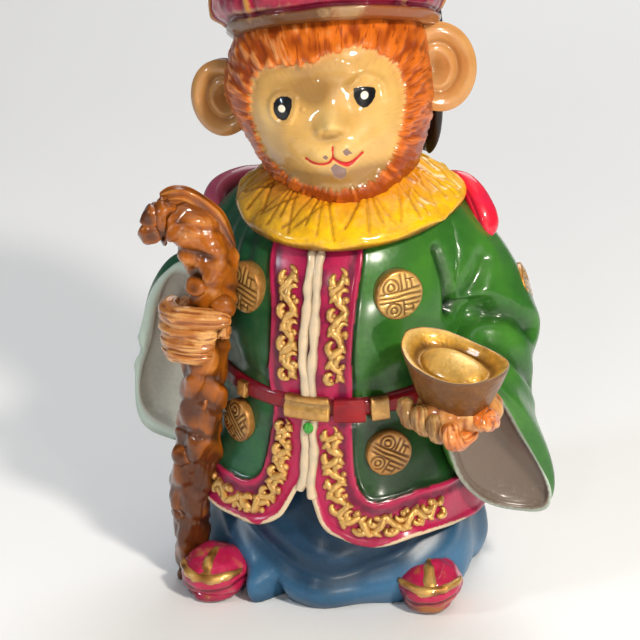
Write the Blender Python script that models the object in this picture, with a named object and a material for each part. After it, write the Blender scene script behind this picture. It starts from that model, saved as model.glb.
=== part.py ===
"""A glazed figure of a robed monkey that holds a gnarled staff and a boat-shaped ingot.

The figure is one casting, so this script makes one object. Each body part, garment and thing held is a
closed skin of rings; a voxel remesh fuses the skins and a plane cuts the foot flat. Metres, +Z up, the figure
faces -Y and stands on Z = 0 with the origin at the middle of its foot.
"""

import math

import bmesh
import bpy
import numpy as np

# Driving sizes, in metres.
FIGURE_HEIGHT = 0.142
STAFF_RADIUS = 0.0041
INGOT_LENGTH = 0.0228
INGOT_WIDTH = 0.0150
INGOT_HEIGHT = 0.0112
MEDALLION_RADIUS = 0.0052
BELT_HEIGHT = 0.0046
CLOTH_WALL = 0.0020
COLLAR_THICKNESS = 0.0018
VOXEL = 0.00085
TRIANGLES = 9600

# The pose and the carving are shares of the height: one unit is 1/142 of it, about a millimetre.
UNITS_TALL = 142.0
UNIT = FIGURE_HEIGHT / UNITS_TALL

TORSO_TURN = -6.0
HEAD_CENTRE = (-3.2, -1.0, 101.0)
HEAD_RADII = (20.2, 20.6, 22.6)
HEAD_YAW, HEAD_ROLL, HEAD_PITCH = 9.0, -9.0, -6.0
BELT_LEVEL = 46.4
PLATE_ENDS = ((-0.13, 0.22), (0.25, 0.49), (0.53, 0.67), (-0.73, -0.62))


def units(length):
    """A length in metres as units of the pose grid."""
    return length / UNIT


def turn(axis, degrees):
    """The 3x3 matrix that turns a column vector about the X, Y or Z axis."""
    c, s = math.cos(math.radians(degrees)), math.sin(math.radians(degrees))
    return {
        "X": np.array([[1, 0, 0], [0, c, -s], [0, s, c]]),
        "Y": np.array([[c, 0, s], [0, 1, 0], [-s, 0, c]]),
        "Z": np.array([[c, -s, 0], [s, c, 0], [0, 0, 1]]),
    }[axis]


HEAD_FRAME = turn("Z", HEAD_YAW) @ turn("Y", HEAD_ROLL) @ turn("X", HEAD_PITCH)
TORSO_FRAME = turn("Z", TORSO_TURN)
HAT_SEAT = np.array([1.7, 0.2, 11.6])
HAT_FRAME = HEAD_FRAME @ turn("X", -13.2) @ turn("Y", 3.5)


def eased(knots, values, at):
    """Values between knots on a cubic that passes through each of them (Catmull-Rom)."""
    knots, values, at = np.asarray(knots, float), np.asarray(values, float), np.asarray(at, float)
    slopes = np.gradient(values, knots, axis=0)
    i = np.clip(np.searchsorted(knots, at, side="right") - 1, 0, len(knots) - 2)
    span = knots[i + 1] - knots[i]
    t = np.clip((at - knots[i]) / span, 0, 1)
    if values.ndim > 1:
        t, span = t[..., None], span[..., None]
    return (
        (2 * t**3 - 3 * t**2 + 1) * values[i]
        + (t**3 - 2 * t**2 + t) * span * slopes[i]
        + (3 * t**2 - 2 * t**3) * values[i + 1]
        + (t**3 - t**2) * span * slopes[i + 1]
    )


def bump(x, width):
    """A smooth hill of height 1 at x = 0 that fades over the width."""
    return np.exp(-((np.asarray(x) / width) ** 2))


def step(x, width):
    """A smooth rise from 0 to 1 about x = 0."""
    return 0.5 + 0.5 * np.tanh(np.asarray(x) / width)


def around(count):
    """Angles once round a ring, without the repeated last one."""
    return np.linspace(0, 2 * math.pi, count, endpoint=False)


def placed(points, frame, centre):
    """Points of a local frame in the figure's frame."""
    return points @ np.asarray(frame).T + np.asarray(centre)


def end_rounding(s, share):
    """Radius factor that rounds both ends of a tube: a quarter circle over the end share of its length."""
    near = np.clip(np.minimum(s, 1 - s) / share, 0, 1)
    return np.sqrt(1 - (1 - near) ** 2)


def ball(centre, radii, frame=np.eye(3), rings=24, sides=32):
    """An ellipsoid: rings from the lower to the upper pole."""
    a = np.linspace(0, math.pi, rings)[:, None]
    b = around(sides)[None]
    points = np.stack([np.sin(a) * np.cos(b), np.sin(a) * np.sin(b), -np.cos(a) * np.ones_like(b)], -1)
    return placed(points * np.asarray(radii), frame, centre)


def tube(stations, side=(0, 0, 1), rings=40, sides=20, ends=0.12):
    """A round or flattened tube with rounded ends along a smooth path.

    A station is x, y, z, radius and optionally the radius across the side direction.
    """
    stations = np.array([[*row, row[3]] if len(row) == 4 else row for row in stations], float)
    s = np.linspace(0, 1, rings)
    knots = np.linspace(0, 1, len(stations))
    path = eased(knots, stations, s)
    along = np.gradient(path[:, :3], s, axis=0)
    along /= np.linalg.norm(along, axis=1, keepdims=True)
    across = np.cross(along, np.asarray(side, float))
    across /= np.linalg.norm(across, axis=1, keepdims=True)
    up = np.cross(across, along)
    round_off = end_rounding(s, ends)[:, None, None]
    angle = around(sides)[None, :, None]
    return path[:, None, :3] + round_off * (
        np.cos(angle) * across[:, None] * path[:, None, 3:4] + np.sin(angle) * up[:, None] * path[:, None, 4:5]
    )


def torso_radii(z):
    """Half width, half depth and centre of the robe's level sections at height z."""
    levels = (17, 22, 28, 34, 40, 46.3, 52, 60, 68, 76, 82, 87)
    width = eased(levels, (29.3, 28.6, 27.4, 26.2, 25.0, 24.2, 24.8, 25.4, 24.8, 22.4, 17.8, 11.0), z)
    depth = eased(levels, (29.5, 28.8, 27.6, 26.6, 26.0, 25.6, 26.4, 26.4, 25.0, 21.5, 17.0, 11.0), z)
    middle = eased(levels, (-2.0, -2.0, -2.2, -2.5, -2.7, -3.0, -3.0, -2.4, -2.0, -1.6, -1.0, 0.0), z)
    return width, depth, middle


def torso_point(angle, z, lift=0.0):
    """A point of the robe at an angle from the front (towards +X) and a height, raised by lift."""
    width, depth, middle = torso_radii(z)
    skirt = step(36 - z, 8)
    folds = 0.7 * skirt * np.cos(8 * angle + 0.6) * step(np.abs(angle) - 1.1, 0.25)
    squareness = 2 + 0.6 * skirt
    full = (np.abs(np.sin(angle)) ** squareness + np.abs(np.cos(angle)) ** squareness) ** (-1 / squareness)
    x = (width * full + lift + folds) * np.sin(angle)
    y = middle - (depth * full + lift + folds) * np.cos(angle)
    points = np.stack([x, y, z * np.ones_like(x)], -1)
    return points @ TORSO_FRAME.T


def hem_level(angle):
    """Height of the robe's hem by angle: two front panels with rounded corners that part below the slit."""
    knots = (-3.15, -1.6, -1.0, -0.5, -0.3, -0.14, 0.035, 0.15, 0.3, 0.48, 0.75, 1.2, 1.6, 3.15)
    levels = (18.0, 19.6, 20.5, 19.0, 18.5, 21.0, 28.0, 20.8, 18.0, 16.3, 18.0, 16.4, 15.6, 18.0)
    return eased(knots, levels, angle)


def belt_level(angle):
    """Height of the belt's middle: it sags a little at the front and to the ingot's side."""
    return BELT_LEVEL - 1.6 * bump(angle - 0.35, 0.9)


def robe():
    """The green robe: chest, waist and flared skirt, closed under the hem by a hollow dome."""
    angle = around(120)[None] - math.pi
    share = np.linspace(0, 1, 60)[:, None]
    level = 87 + (hem_level(angle) - 87) * share
    outside = torso_point(angle, level)
    wall = units(CLOTH_WALL)
    hem = hem_level(angle)
    lip = torso_point(angle, hem + 0.4 * wall, -wall)
    inside = torso_point(angle, hem + 5, -wall - 1.2)
    return np.concatenate([outside, lip, inside])


def underskirt():
    """The blue underskirt: it bellies over the ground and has a lobe beside one of the shoes."""
    angle = around(120)[None] - math.pi
    level = np.linspace(-2, 40, 44)[:, None]
    width = eased((-2, 1, 4, 9, 15, 24, 40), (26.5, 28.6, 29.8, 29.8, 28.2, 25.6, 20.0), level)
    depth = eased((-2, 1, 4, 9, 15, 24, 40), (23.4, 25.4, 26.6, 26.4, 25.0, 23.0, 18.0), level)
    low = step(14 - level, 6)
    folds = low * (0.9 * np.cos(6 * angle + 0.5) + 0.5 * np.cos(11 * angle))
    folds = folds + 5.2 * bump(angle + 0.43, 0.085) * step(6 - level, 2)
    folds = folds - 3.0 * bump(angle + 0.315, 0.05) * step(5 - level, 1.5)
    x = (width + folds) * np.sin(angle)
    y = -2.0 - (depth + folds) * np.cos(angle)
    return np.stack([x, y, level * np.ones_like(x)], -1)


def collar():
    """The wide yellow collar that slopes from the neck to the shoulders."""
    angle = around(96)[None]
    share = np.linspace(0, 1, 18)[:, None]
    front = np.cos(angle)
    radius_x = 5 + 18.2 * share
    radius_y = 5 + (17.4 + 3.8 * step(front, 0.4)) * share
    edge = 81.6 - 3.8 * np.clip(front, 0, 1) ** 1.5 + 1.2 * np.clip(-front, 0, 1)
    level = 90 + (edge - 90) * share**1.6
    top = np.stack([radius_x * np.sin(angle), -radius_y * front, level * np.ones_like(angle)], -1)
    under = top[::-1] * (0.985, 0.985, 1) - (0, 0, units(COLLAR_THICKNESS))
    return np.concatenate([top, under]) @ TORSO_FRAME.T + (1.0, -1.0, 0)


def head():
    """The head: an ellipsoid about the face's axis, with a muzzle, nose, eye sockets and a fringe of fur."""
    polar = np.linspace(0, math.pi, 60)[:, None]
    round_face = around(96)[None]
    direction = np.stack(
        [
            np.sin(polar) * np.cos(round_face),
            -np.cos(polar) * np.ones_like(round_face),
            np.sin(polar) * np.sin(round_face),
        ],
        -1,
    )
    skull = direction * np.asarray(HEAD_RADII) - (0.6, 0, 0)
    crown = 0.14 * step(skull[..., 2] - 8, 4) * step(skull[..., 0], 6)
    jaw = 0.15 * step(-skull[..., 2] - 1, 4) * step(-skull[..., 0], 6)
    skull[..., 0] *= 1 + crown - jaw
    x, z = skull[..., 0], skull[..., 2]
    in_front = step(-direction[..., 1] - 0.25, 0.15)
    forward = face_relief(x, z)
    skull[..., 1] -= forward * in_front
    fur = step(face_outline(x, z), 0.06)
    skull *= (1 + 0.022 * fur * in_front)[..., None]
    return placed(skull, HEAD_FRAME, HEAD_CENTRE)


def face_outline(x, z):
    """Above 0 outside the bare face, seen along its axis: a rounded square that narrows to the chin."""
    half_width = 15.5 + 0.12 * np.minimum(z + 3, 0)
    return (np.abs(x / half_width) ** 2.6 + np.abs((z + 3.5) / 12.8) ** 2.6) - 1


def face_relief(x, z):
    """How far the face's features stand forward of the skull."""
    muzzle = 2.8 * bump(x - 0.8, 8.5) * bump(z + 10.0, 6.0)
    nose = 3.3 * bump(x - 0.8, 2.2) * bump(z + 3.4, 1.9) + 0.8 * bump(x - 0.9, 2.3) * bump(z - 0.2, 3.2)
    lips = 0.8 * (bump(x - 3.4, 2.2) + bump(x + 1.6, 2.2)) * bump(z + 8.8, 1.8)
    sockets = -1.5 * (bump(x - 8, 4.6) + bump(x + 8, 4.6)) * bump(z - 1.6, 4.2)
    eyes = 1.3 * (bump(x - 7.7, 2.6) + bump(x + 8.1, 2.6)) * bump(z - 0.8, 2.8)
    beard = 3.6 * bump(x, 9.5) * bump(z + 18.0, 5.0)
    return muzzle + nose + lips + sockets + eyes + beard


def ear(side):
    """A round ear: a rim round a bowl, its back domed. side is -1 or 1."""
    share = np.linspace(0, 1, 16)[:, None]
    angle = around(48)[None]
    rim, bowl = bump(share - 0.84, 0.16), bump(share, 0.62)
    front = -1.0 - 1.5 * rim + 2.0 * bowl
    back = 1.6 + 0.8 * (1 - share**2)
    front_skin = np.stack([share * np.cos(angle), front * np.ones_like(angle), share * np.sin(angle)], -1)
    back_skin = np.stack([share * np.cos(angle), back * np.ones_like(angle), share * np.sin(angle)], -1)
    half_width, half_height, out = (7.5, 8.9, 21.7) if side > 0 else (6.5, 7.7, 21.8)
    skin = np.concatenate([front_skin, back_skin[::-1]]) * (half_width, 1, half_height)
    centre = placed(np.array([side * out, 1.8, 1.9]), HEAD_FRAME, HEAD_CENTRE)
    return placed(skin, HEAD_FRAME @ turn("Z", side * 14), centre)


def hat():
    """The cap: a rim with an overhang, a puffed crown in panels and a knob on top."""
    angle = around(96)[None] - math.pi
    level = np.concatenate([np.linspace(0, 4, 6), np.linspace(5, 27.5, 20)])[:, None]
    profile = ((0, 1.2, 4, 9, 15, 20, 24, 27, 27.5), (20.4, 21.3, 21.6, 21.6, 20.6, 17.4, 12.6, 5.0, 1.0))
    radius = eased(*profile, level)
    panels = 1.7 * np.abs(np.cos(2 * (angle - math.radians(4)))) * step(level - 4, 1.5) * step(24 - level, 3)
    radius = radius + panels - 1.2 * bump(angle + 1.5, 0.6) * step(3.6 - level, 0.6)
    skin = np.stack([radius * np.sin(angle), -radius * np.cos(angle), level * np.ones_like(angle)], -1)
    return placed(skin, HAT_FRAME, placed(HAT_SEAT, HEAD_FRAME, HEAD_CENTRE))


def hat_top():
    """The centre of the hat's knob."""
    return placed(np.array([0, 0, 28.0]), HAT_FRAME, placed(HAT_SEAT, HEAD_FRAME, HEAD_CENTRE))


def drape():
    """The dark drape that hangs from the back of the hat to the collar, curved round the head."""
    share = np.linspace(0, 1, 30)[:, None]
    sweep = -0.85 + 1.93 * share
    turn_over = around(32)[None]
    height = 17.5 * end_rounding(share, 0.12) * np.sign(np.sin(turn_over)) * np.abs(np.sin(turn_over)) ** 0.5
    radius = 22.6 + 1.4 * end_rounding(share, 0.06) * np.cos(turn_over) + 0.25 * np.cos(9 * sweep)
    return np.stack([-2.5 + radius * np.sin(sweep), -1 + radius * np.cos(sweep), 103 + height], -1)


def ribbons():
    """The crimson ribbon tails that come from behind the collar and lie over the shoulders."""
    ingot_side = [
        (15, 13, 80.5, 1.6, 1.4),
        (22.5, 7, 81.8, 2.2, 1.9),
        (27.0, 3.5, 77.4, 2.9, 2.3),
        (29.0, 1.0, 72.0, 2.5, 2.1),
    ]
    staff_side = [
        (-15, 15, 80.0, 1.6, 1.4),
        (-24.5, 9, 79.6, 2.4, 2.0),
        (-28.6, 4.0, 77.2, 2.9, 2.3),
        (-27.6, -1.5, 73.0, 2.4, 2.0),
    ]
    return [
        tube(ingot_side, side=(0.6, -0.4, 0.7), ends=0.2),
        tube(staff_side, side=(-0.6, -0.4, 0.7), ends=0.2),
    ]


def sleeve_loops(loops, rings, sides):
    """Rings between loops.

    A loop is its centre, its half axes outward and upward, how it widens below, and how round its corners are.
    """
    knots = np.linspace(0, 1, len(loops))
    s = np.linspace(0, 1, rings)
    flat = np.array([[*centre, *outward, *upward, *form] for centre, outward, upward, *form in loops], float)
    rows = eased(knots, flat, s)[:, None]
    angle = around(sides)[None, :, None]
    out = np.sign(np.cos(angle)) * np.abs(np.cos(angle)) ** rows[..., 10:11]
    up = np.sign(np.sin(angle)) * np.abs(np.sin(angle)) ** rows[..., 10:11]
    return rows[..., :3] + rows[..., 3:6] * out * (1 - rows[..., 9:10] * up) + rows[..., 6:9] * up


def groove(u, v, start, end, width):
    """A soft groove of depth 1 along a segment of the (u, v) plane that fades towards its end."""
    run = np.subtract(end, start)
    t = np.clip(((u - start[0]) * run[0] + (v - start[1]) * run[1]) / (run @ run), 0, 1)
    apart = (u - start[0] - t * run[0]) ** 2 + (v - start[1] - t * run[1]) ** 2
    return (1 - 0.65 * t) * np.exp(-apart / width**2)


def line_distance(points, line):
    """Distance in space from each point to a line of straight runs."""
    nearest = np.full(points.shape[:-1], np.inf)
    for start, end in zip(line[:-1], line[1:]):
        run = np.subtract(end, start)
        t = np.clip((points - np.asarray(start)) @ run / (run @ run), 0, 1)
        nearest = np.minimum(nearest, np.linalg.norm(points - start - t[..., None] * run, axis=-1))
    return nearest


def drawn_in(rings, amount):
    """Rings with every point moved towards its ring's centre by an amount."""
    centre = rings.mean(1, keepdims=True)
    reach = np.linalg.norm(rings - centre, axis=2, keepdims=True)
    return centre + (rings - centre) * np.clip(1 - amount / reach, 0, 1)


def sleeve(loops, creases, lines=()):
    """A hanging sleeve: creased cloth from the shoulder to the mouth, then a lining that follows it inward.

    A crease is a groove's start and end as (share of the length, angle round the sleeve) and its depth; a line
    is a groove along places in space, and its depth.
    """
    outside = sleeve_loops(loops, 56, 72)
    lengthwise = np.linspace(0, 75, len(outside))[:, None]
    crosswise = 11 * around(outside.shape[1])[None]
    pressed = sum(
        deep * groove(lengthwise, crosswise, (75 * start[0], 11 * start[1]), (75 * end[0], 11 * end[1]), 2.1)
        for start, end, deep in creases
    )
    pressed = pressed + sum(deep * bump(line_distance(outside, line), 1.8) for line, deep in lines)
    cloth = drawn_in(outside, pressed[..., None])
    lining = drawn_in(outside[:-16:-1], units(CLOTH_WALL))
    shrink = 1 - np.linspace(0, 1, len(lining))[:, None, None] ** 4
    middle = lining.mean(1, keepdims=True)
    return np.concatenate([cloth, middle + (lining - middle) * (0.25 + 0.75 * shrink)])


def ingot_sleeve():
    """The sleeve on the +X side, whose mouth hangs from the wrist under the ingot."""
    loops = [
        ((9, 2, 76), (4, 0, 5), (0, -8, 0), 0, 1),
        ((17, 2.5, 72), (6, 0, 6.5), (0, -10.5, 0), 0, 1),
        ((24, 3, 64), (8.8, 0, 4.2), (0, -11.5, 0), 0, 1),
        ((28.6, 2.5, 55), (10.4, 0, 1), (0, -9.5, 6), 0, 1),
        ((29.3, -3, 47.5), (9.6, 0, 0), (0, -6, 9), 0.05, 1),
        ((30.5, -11, 42), (9.6, 1, -0.5), (-2.5, -6, 12.5), 0.12, 1),
        ((33.0, -17.0, 36.2), (10.2, 2.5, -1.5), (-4, -6.5, 16.3), 0.2, 0.85),
        ((31.9, -19.2, 37.2), (7.9, 2.0, -1.1), (-6.2, -6.2, 18.4), 0.32, 0.66),
    ]
    creases = [((0.51, 4.4), (0.36, 5.3), 1.1)]
    lines = [
        (((20.5, -13.1, 73.0), (22.4, -12.9, 67.5), (22.9, -12.9, 61.0)), 1.2),
        (((28.2, -5.0, 69.6), (26.9, -7.7, 65.8), (23.3, -12.0, 61.2)), 1.2),
        (((23.1, -12.6, 59.8), (29.2, -7.5, 59.4), (33.7, -5.7, 58.4), (38.4, -2.6, 54.5)), 1.4),
        (((31.0, -12.8, 54.6), (36.2, -10.4, 50.6), (39.8, -6.0, 43.8)), 1.1),
    ]
    return sleeve(loops, creases, lines)


def staff_sleeve():
    """The sleeve on the -X side, whose mouth hangs behind the hand that grips the staff."""
    loops = [
        ((-9, 2, 76), (-4, 0, 5), (0, -8, 0), 0, 1),
        ((-17, 2.5, 72.5), (-6, 0, 6.5), (0, -10.0, 0), 0, 1),
        ((-23.5, 2.5, 66), (-8.4, 0, 4), (0, -11, 2), 0, 1),
        ((-28, 0.5, 59), (-9.3, 0, 2), (0, -9.5, 7), 0, 1),
        ((-30.5, -5.5, 52.0), (-9.4, 1, 0.5), (2, -7, 14.5), 0.12, 0.95),
        ((-31.8, -10.0, 50.0), (-9.5, 1.3, 1.3), (3.0, -5.6, 20.0), 0.16, 0.8),
        ((-32.6, -13.0, 47.2), (-8.5, 1.5, 2.0), (3.4, -4.5, 20.5), 0.32, 0.64),
    ]
    creases = [
        ((0.42, 2.4), (0.25, 2.4), 1.3),
        ((0.46, 2.5), (0.46, 0.6), 1.3),
        ((0.5, 4.4), (0.35, 5.3), 1.1),
    ]
    lines = [(((-43.0, -14.0, 46.0), (-41.0, -6.0, 47.0)), 1.4)]
    return sleeve(loops, creases, lines)


def staff():
    """The staff: a thick gnarled stem that bends over at the top like a beast's head."""
    girth = units(STAFF_RADIUS)
    path = [
        (-29.0, -19.5, -2, 0.66),
        (-28.9, -20.5, 8, 0.78),
        (-27.9, -22.0, 20, 1.05),
        (-26.2, -23.6, 30, 1.22),
        (-24.9, -24.6, 38, 1.05),
        (-23.4, -25.8, 48, 1.0),
        (-22.6, -26.4, 60, 0.98),
        (-21.6, -26.6, 67, 1.08),
        (-21.9, -27.0, 74, 1.12),
        (-25.6, -28.3, 79.5, 1.08),
        (-29.6, -30.0, 81.0, 1.1),
        (-31.8, -31.2, 80.2, 0.95),
    ]
    stations = [(x, y, z, girth * r) for x, y, z, r in path]
    stem = tube(stations, side=(1, 0.3, 0), rings=120, sides=28, ends=0.02)
    s = np.linspace(0, 1, 120)[:, None]
    angle = around(28)[None]
    gnarl = 0.10 * np.sin(3 * angle + 34 * s) + 0.07 * np.sin(5 * angle - 52 * s + 1)
    centre = stem.mean(1, keepdims=True)
    return centre + (stem - centre) * (1 + gnarl)[..., None]


def staff_mane():
    """The long lock of bark swept back from the staff's head."""
    girth = units(STAFF_RADIUS)
    return tube(
        [
            (-31.5, -29.5, 84.5, 0.38 * girth, 0.5 * girth),
            (-27, -28.0, 84.8, 0.45 * girth, 0.6 * girth),
            (-22.0, -26.5, 81.2, 0.45 * girth, 0.65 * girth),
            (-17.8, -26.0, 75.0, 0.36 * girth, 0.5 * girth),
        ],
        side=(0.6, 0, 0.8),
        ends=0.2,
    )


def staff_knots():
    """Knots of wood on the stem and the brow and jaw of its head."""
    girth = units(STAFF_RADIUS)
    places = [
        ((-32.2, -32.2, 82.6), 0.5),
        ((-29.6, -31.8, 83.6), 0.6),
        ((-32.6, -32.0, 79.6), 0.55),
        ((-23.5, -30.4, 68.5), 0.55),
        ((-18.6, -29.6, 64.6), 0.6),
        ((-28.8, -26.0, 30.5), 0.7),
        ((-24.2, -27.4, 43.0), 0.45),
        ((-30.4, -23.0, 16.5), 0.5),
    ]
    return [ball(centre, (girth * r,) * 3, rings=12, sides=16) for centre, r in places]


def gripping_hand():
    """The fist round the staff: a palm, a wrist and four stacked fingers in front of the stem."""
    girth = units(STAFF_RADIUS)
    grip = -26.4 - girth
    skins = [
        ball((-26.4, -25.8, 58.2), (5.2, 5.2, 6.0)),
        tube([(-31, -4, 54, 4.2), (-29.5, -14, 56.5, 4.4), (-27.5, -24, 58.6, 4.8)], side=(1, 0, 0)),
    ]
    rows = ((62.3, -16.6, 2.3), (59.2, -19.6, 1.95), (56.7, -20.0, 1.85), (54.4, -20.6, 1.6))
    for z, tip, thick in rows:
        path = [
            (-29.4, -24.5, z, thick),
            (-30.0, -28.5, z, thick),
            (-27.6, grip - 1.0, z + 0.2, thick),
            (-24.0, grip - 1.7, z + 0.2, thick),
            (tip, grip - 0.6, z, 0.85 * thick),
        ]
        skins.append(tube(path, side=(0, 0, 1), sides=16, ends=0.1))
    return skins


INGOT_CENTRE = (27.6, -36.2, 59.6)
INGOT_FRAME = turn("Z", -31) @ turn("X", 9) @ turn("Y", 8)


def ingot():
    """A boat-shaped ingot: pointed ends that rise above its sides, a hollow top and a dome in the hollow."""
    half_length, half_width = units(INGOT_LENGTH) / 2, units(INGOT_WIDTH) / 2
    deep = units(INGOT_HEIGHT)
    angle = around(64)[None]
    pointed = np.sign(np.cos(angle)) * np.abs(np.cos(angle)) ** 0.85
    along, across = half_length * pointed, half_width * np.sin(angle)
    sheer = 0.16 * deep * np.cos(angle) ** 2
    share = np.linspace(0, 1, 12)[:, None]
    narrow = 0.52 + 0.48 * share**0.8
    hull = np.stack([along * narrow, across * narrow, -deep * (1 - share) + sheer * share**2], -1)
    inner = np.linspace(0.9, 0, 12)[:, None]
    dome = np.clip(1 - (inner / 0.62) ** 2, 0, 1) ** 0.7
    hollow = -0.2 * deep * step(0.78 - inner, 0.1) + 0.27 * deep * dome
    bowl = np.stack([along * inner, across * inner, hollow + sheer * inner**2], -1)
    foot = hull[:1] * (0.3, 0.3, 1)
    return placed(np.concatenate([foot, hull, bowl]), INGOT_FRAME, INGOT_CENTRE)


def offering_hand():
    """The open hand under the ingot: a wrist, a palm, four fingers curled up in front and a thumb."""
    thumb = [(33, -33, 47.5, 2.4), (34.2, -37.6, 48.6, 2.5), (33.8, -40.6, 50.6, 2.1)]
    skins = [
        ball((28.5, -32.5, 48.6), (8.2, 8.4, 4.6), turn("Z", -25)),
        tube([(29.5, -6, 45.5, 4.0), (29.2, -18, 46.6, 4.2), (29.2, -28, 48.0, 4.7)], side=(1, 0, 0)),
        tube(thumb, side=(1, 0, 0), sides=16),
    ]
    for finger in range(4):
        x, y = 18.6 + 3.1 * finger, -35.2 - 1.9 * finger
        path = [
            (x + 4.0, y + 4.5, 46.4, 1.9),
            (x + 1.2, y + 0.6, 46.0 - 0.4 * finger, 1.95),
            (x + 0.2, y - 0.9, 47.9 - 0.5 * finger, 1.85),
            (x - 0.2, y - 0.2, 51.0 - 0.7 * finger, 1.6),
        ]
        skins.append(tube(path, side=(1, 0, 0), sides=16, ends=0.12))
    return skins


def belt():
    """The belt: a flat band round the waist with raised plates at the front."""
    half = units(BELT_HEIGHT) / 2
    angle = around(120)[None]
    profile_lift = np.array([-6.0, 0.5, 1.0, 1.15, 1.0, 0.5, -6.0])[:, None]
    profile_level = np.array([1.0, 1.0, 0.72, 0, -0.72, -1.0, -1.0])[:, None] * half
    return torso_point(angle, belt_level(angle) + profile_level, profile_lift)


def belt_plate(start, end):
    """A metal plate on the belt between two angles."""
    half = 0.5 * units(BELT_HEIGHT)
    angle = np.linspace(start, end, 14)[None]
    turn_over = around(24)[:, None]
    lift = 1.5 + 1.0 * np.sign(np.cos(turn_over)) * np.abs(np.cos(turn_over)) ** 0.5
    level = belt_level(angle) + half * np.sign(np.sin(turn_over)) * np.abs(np.sin(turn_over)) ** 0.5
    rings = torso_point(angle, level, lift)
    return rings.transpose(1, 0, 2)


def medallion(centre, outward, radius):
    """A domed disc that stands out of the cloth along the outward direction."""
    outward = np.asarray(outward, float)
    outward = outward / np.linalg.norm(outward)
    across = np.cross((0, 0, 1), outward)
    across /= np.linalg.norm(across)
    up = np.cross(outward, across)
    frame = np.stack([across, up, outward], 1)
    share = np.linspace(0, 1, 10)
    dome = 0.9 + 0.8 * np.sqrt(np.clip(1 - share**2.4, 0, 1))
    share, height = np.append(share, 0.96)[:, None], np.append(dome, -2.0)[:, None]
    angle = around(40)[None]
    across, up = radius * share * np.cos(angle), radius * share * np.sin(angle)
    return placed(np.stack([across, up, height * np.ones_like(angle)], -1), frame, centre)


def medallions():
    """The roundels of the robe: chest, skirt, back and the outer sleeve."""
    radius = units(MEDALLION_RADIUS)
    skins = []
    places = ((0.73, 67.0, 0.96), (-0.565, 66.2, 1), (0.64, 35.2, 0.9), (-0.6, 38.2, 0.86), (math.pi, 64, 1))
    for angle, level, size in places:
        spot = torso_point(np.array(angle), np.array(float(level)))
        ahead = torso_point(np.array(angle), np.array(float(level)), 1.0)
        skins.append(medallion(spot, ahead - spot, radius * size))
    skins.append(medallion((35.6, 5.4, 60.4), (0.94, 0.12, 0.3), radius))
    skins.append(medallion((-33.2, 4.5, 62.5), (-0.9, 0.2, 0.42), radius))
    return skins


def shoe(x, y, yaw):
    """A shoe whose toe shows under the skirt."""
    frame = turn("Z", yaw)
    skins = [
        ball((x, y, 4.7), (6.9, 8.4, 4.9), frame),
        ball((x, y + 0.3, 1.4), (5.5, 7.5, 2.8), frame),
    ]
    ridge = [[0, 1.0, 9.4, 0.9], [0, -2.8, 8.8, 1.2], [0, -5.8, 7.0, 1.3], [0, -8.2, 4.8, 1.6]]
    ridge = np.array(ridge, float)
    ridge[:, :3] = ridge[:, :3] @ frame.T + (x, y, 0)
    return [*skins, tube(ridge.tolist(), side=(1, 0, 0), sides=16)]


def skins():
    """Every closed skin of the casting, by name, in units."""
    named = {
        "robe": [robe()],
        "underskirt": [underskirt()],
        "collar": [collar()],
        "head": [head()],
        "ears": [ear(-1), ear(1)],
        "hat": [hat(), ball(hat_top(), (3.2, 3.2, 2.6))],
        "drape": [drape()],
        "ribbons": ribbons(),
        "sleeves": [ingot_sleeve(), staff_sleeve()],
        "staff": [staff(), staff_mane(), *staff_knots()],
        "hands": [*gripping_hand(), *offering_hand()],
        "ingot": [ingot()],
        "belt": [belt()],
        "plates": [belt_plate(*ends) for ends in PLATE_ENDS],
        "medallions": medallions(),
        "shoes": [*shoe(-22.3, -24.4, -8), *shoe(21.4, -20.4, 8)],
    }
    return named


def add_skin(mesh, rings):
    """Adds a closed skin to a bmesh: rings joined in quads, the first and last ring closed by a fan."""
    rings = np.asarray(rings) * UNIT
    count, sides = rings.shape[:2]
    first = mesh.verts.new(rings[0].mean(0))
    last = mesh.verts.new(rings[-1].mean(0))
    grid = [[mesh.verts.new(point) for point in ring] for ring in rings]
    faces = []
    for i in range(sides):
        j = (i + 1) % sides
        faces.append(mesh.faces.new((first, grid[0][j], grid[0][i])))
        faces.append(mesh.faces.new((last, grid[-1][i], grid[-1][j])))
        for lower, upper in zip(grid, grid[1:]):
            faces.append(mesh.faces.new((lower[i], lower[j], upper[j], upper[i])))
    bmesh.ops.recalc_face_normals(mesh, faces=faces)


def glaze():
    """The casting's finish: glossy painted glaze, mostly green."""
    material = bpy.data.materials.new("painted_glaze")
    material.use_nodes = True
    surface = material.node_tree.nodes["Principled BSDF"]
    surface.inputs["Base Color"].default_value = (0.07, 0.22, 0.08, 1)
    surface.inputs["Roughness"].default_value = 0.2
    surface.inputs["Metallic"].default_value = 0.0
    return material


def foot_cutter(reach):
    """A block whose top face is the ground plane, to cut the foot flat."""
    mesh = bpy.data.meshes.new("ground_cutter")
    block = bmesh.new()
    bmesh.ops.create_cube(block, size=1)
    bmesh.ops.scale(block, vec=(reach, reach, 20 * UNIT), verts=block.verts)
    bmesh.ops.translate(block, vec=(0, 0, -10 * UNIT), verts=block.verts)
    block.to_mesh(mesh)
    block.free()
    cutter = bpy.data.objects.new("ground_cutter", mesh)
    bpy.context.scene.collection.objects.link(cutter)
    cutter.hide_render = True
    cutter.display_type = "WIRE"
    return cutter


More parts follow.
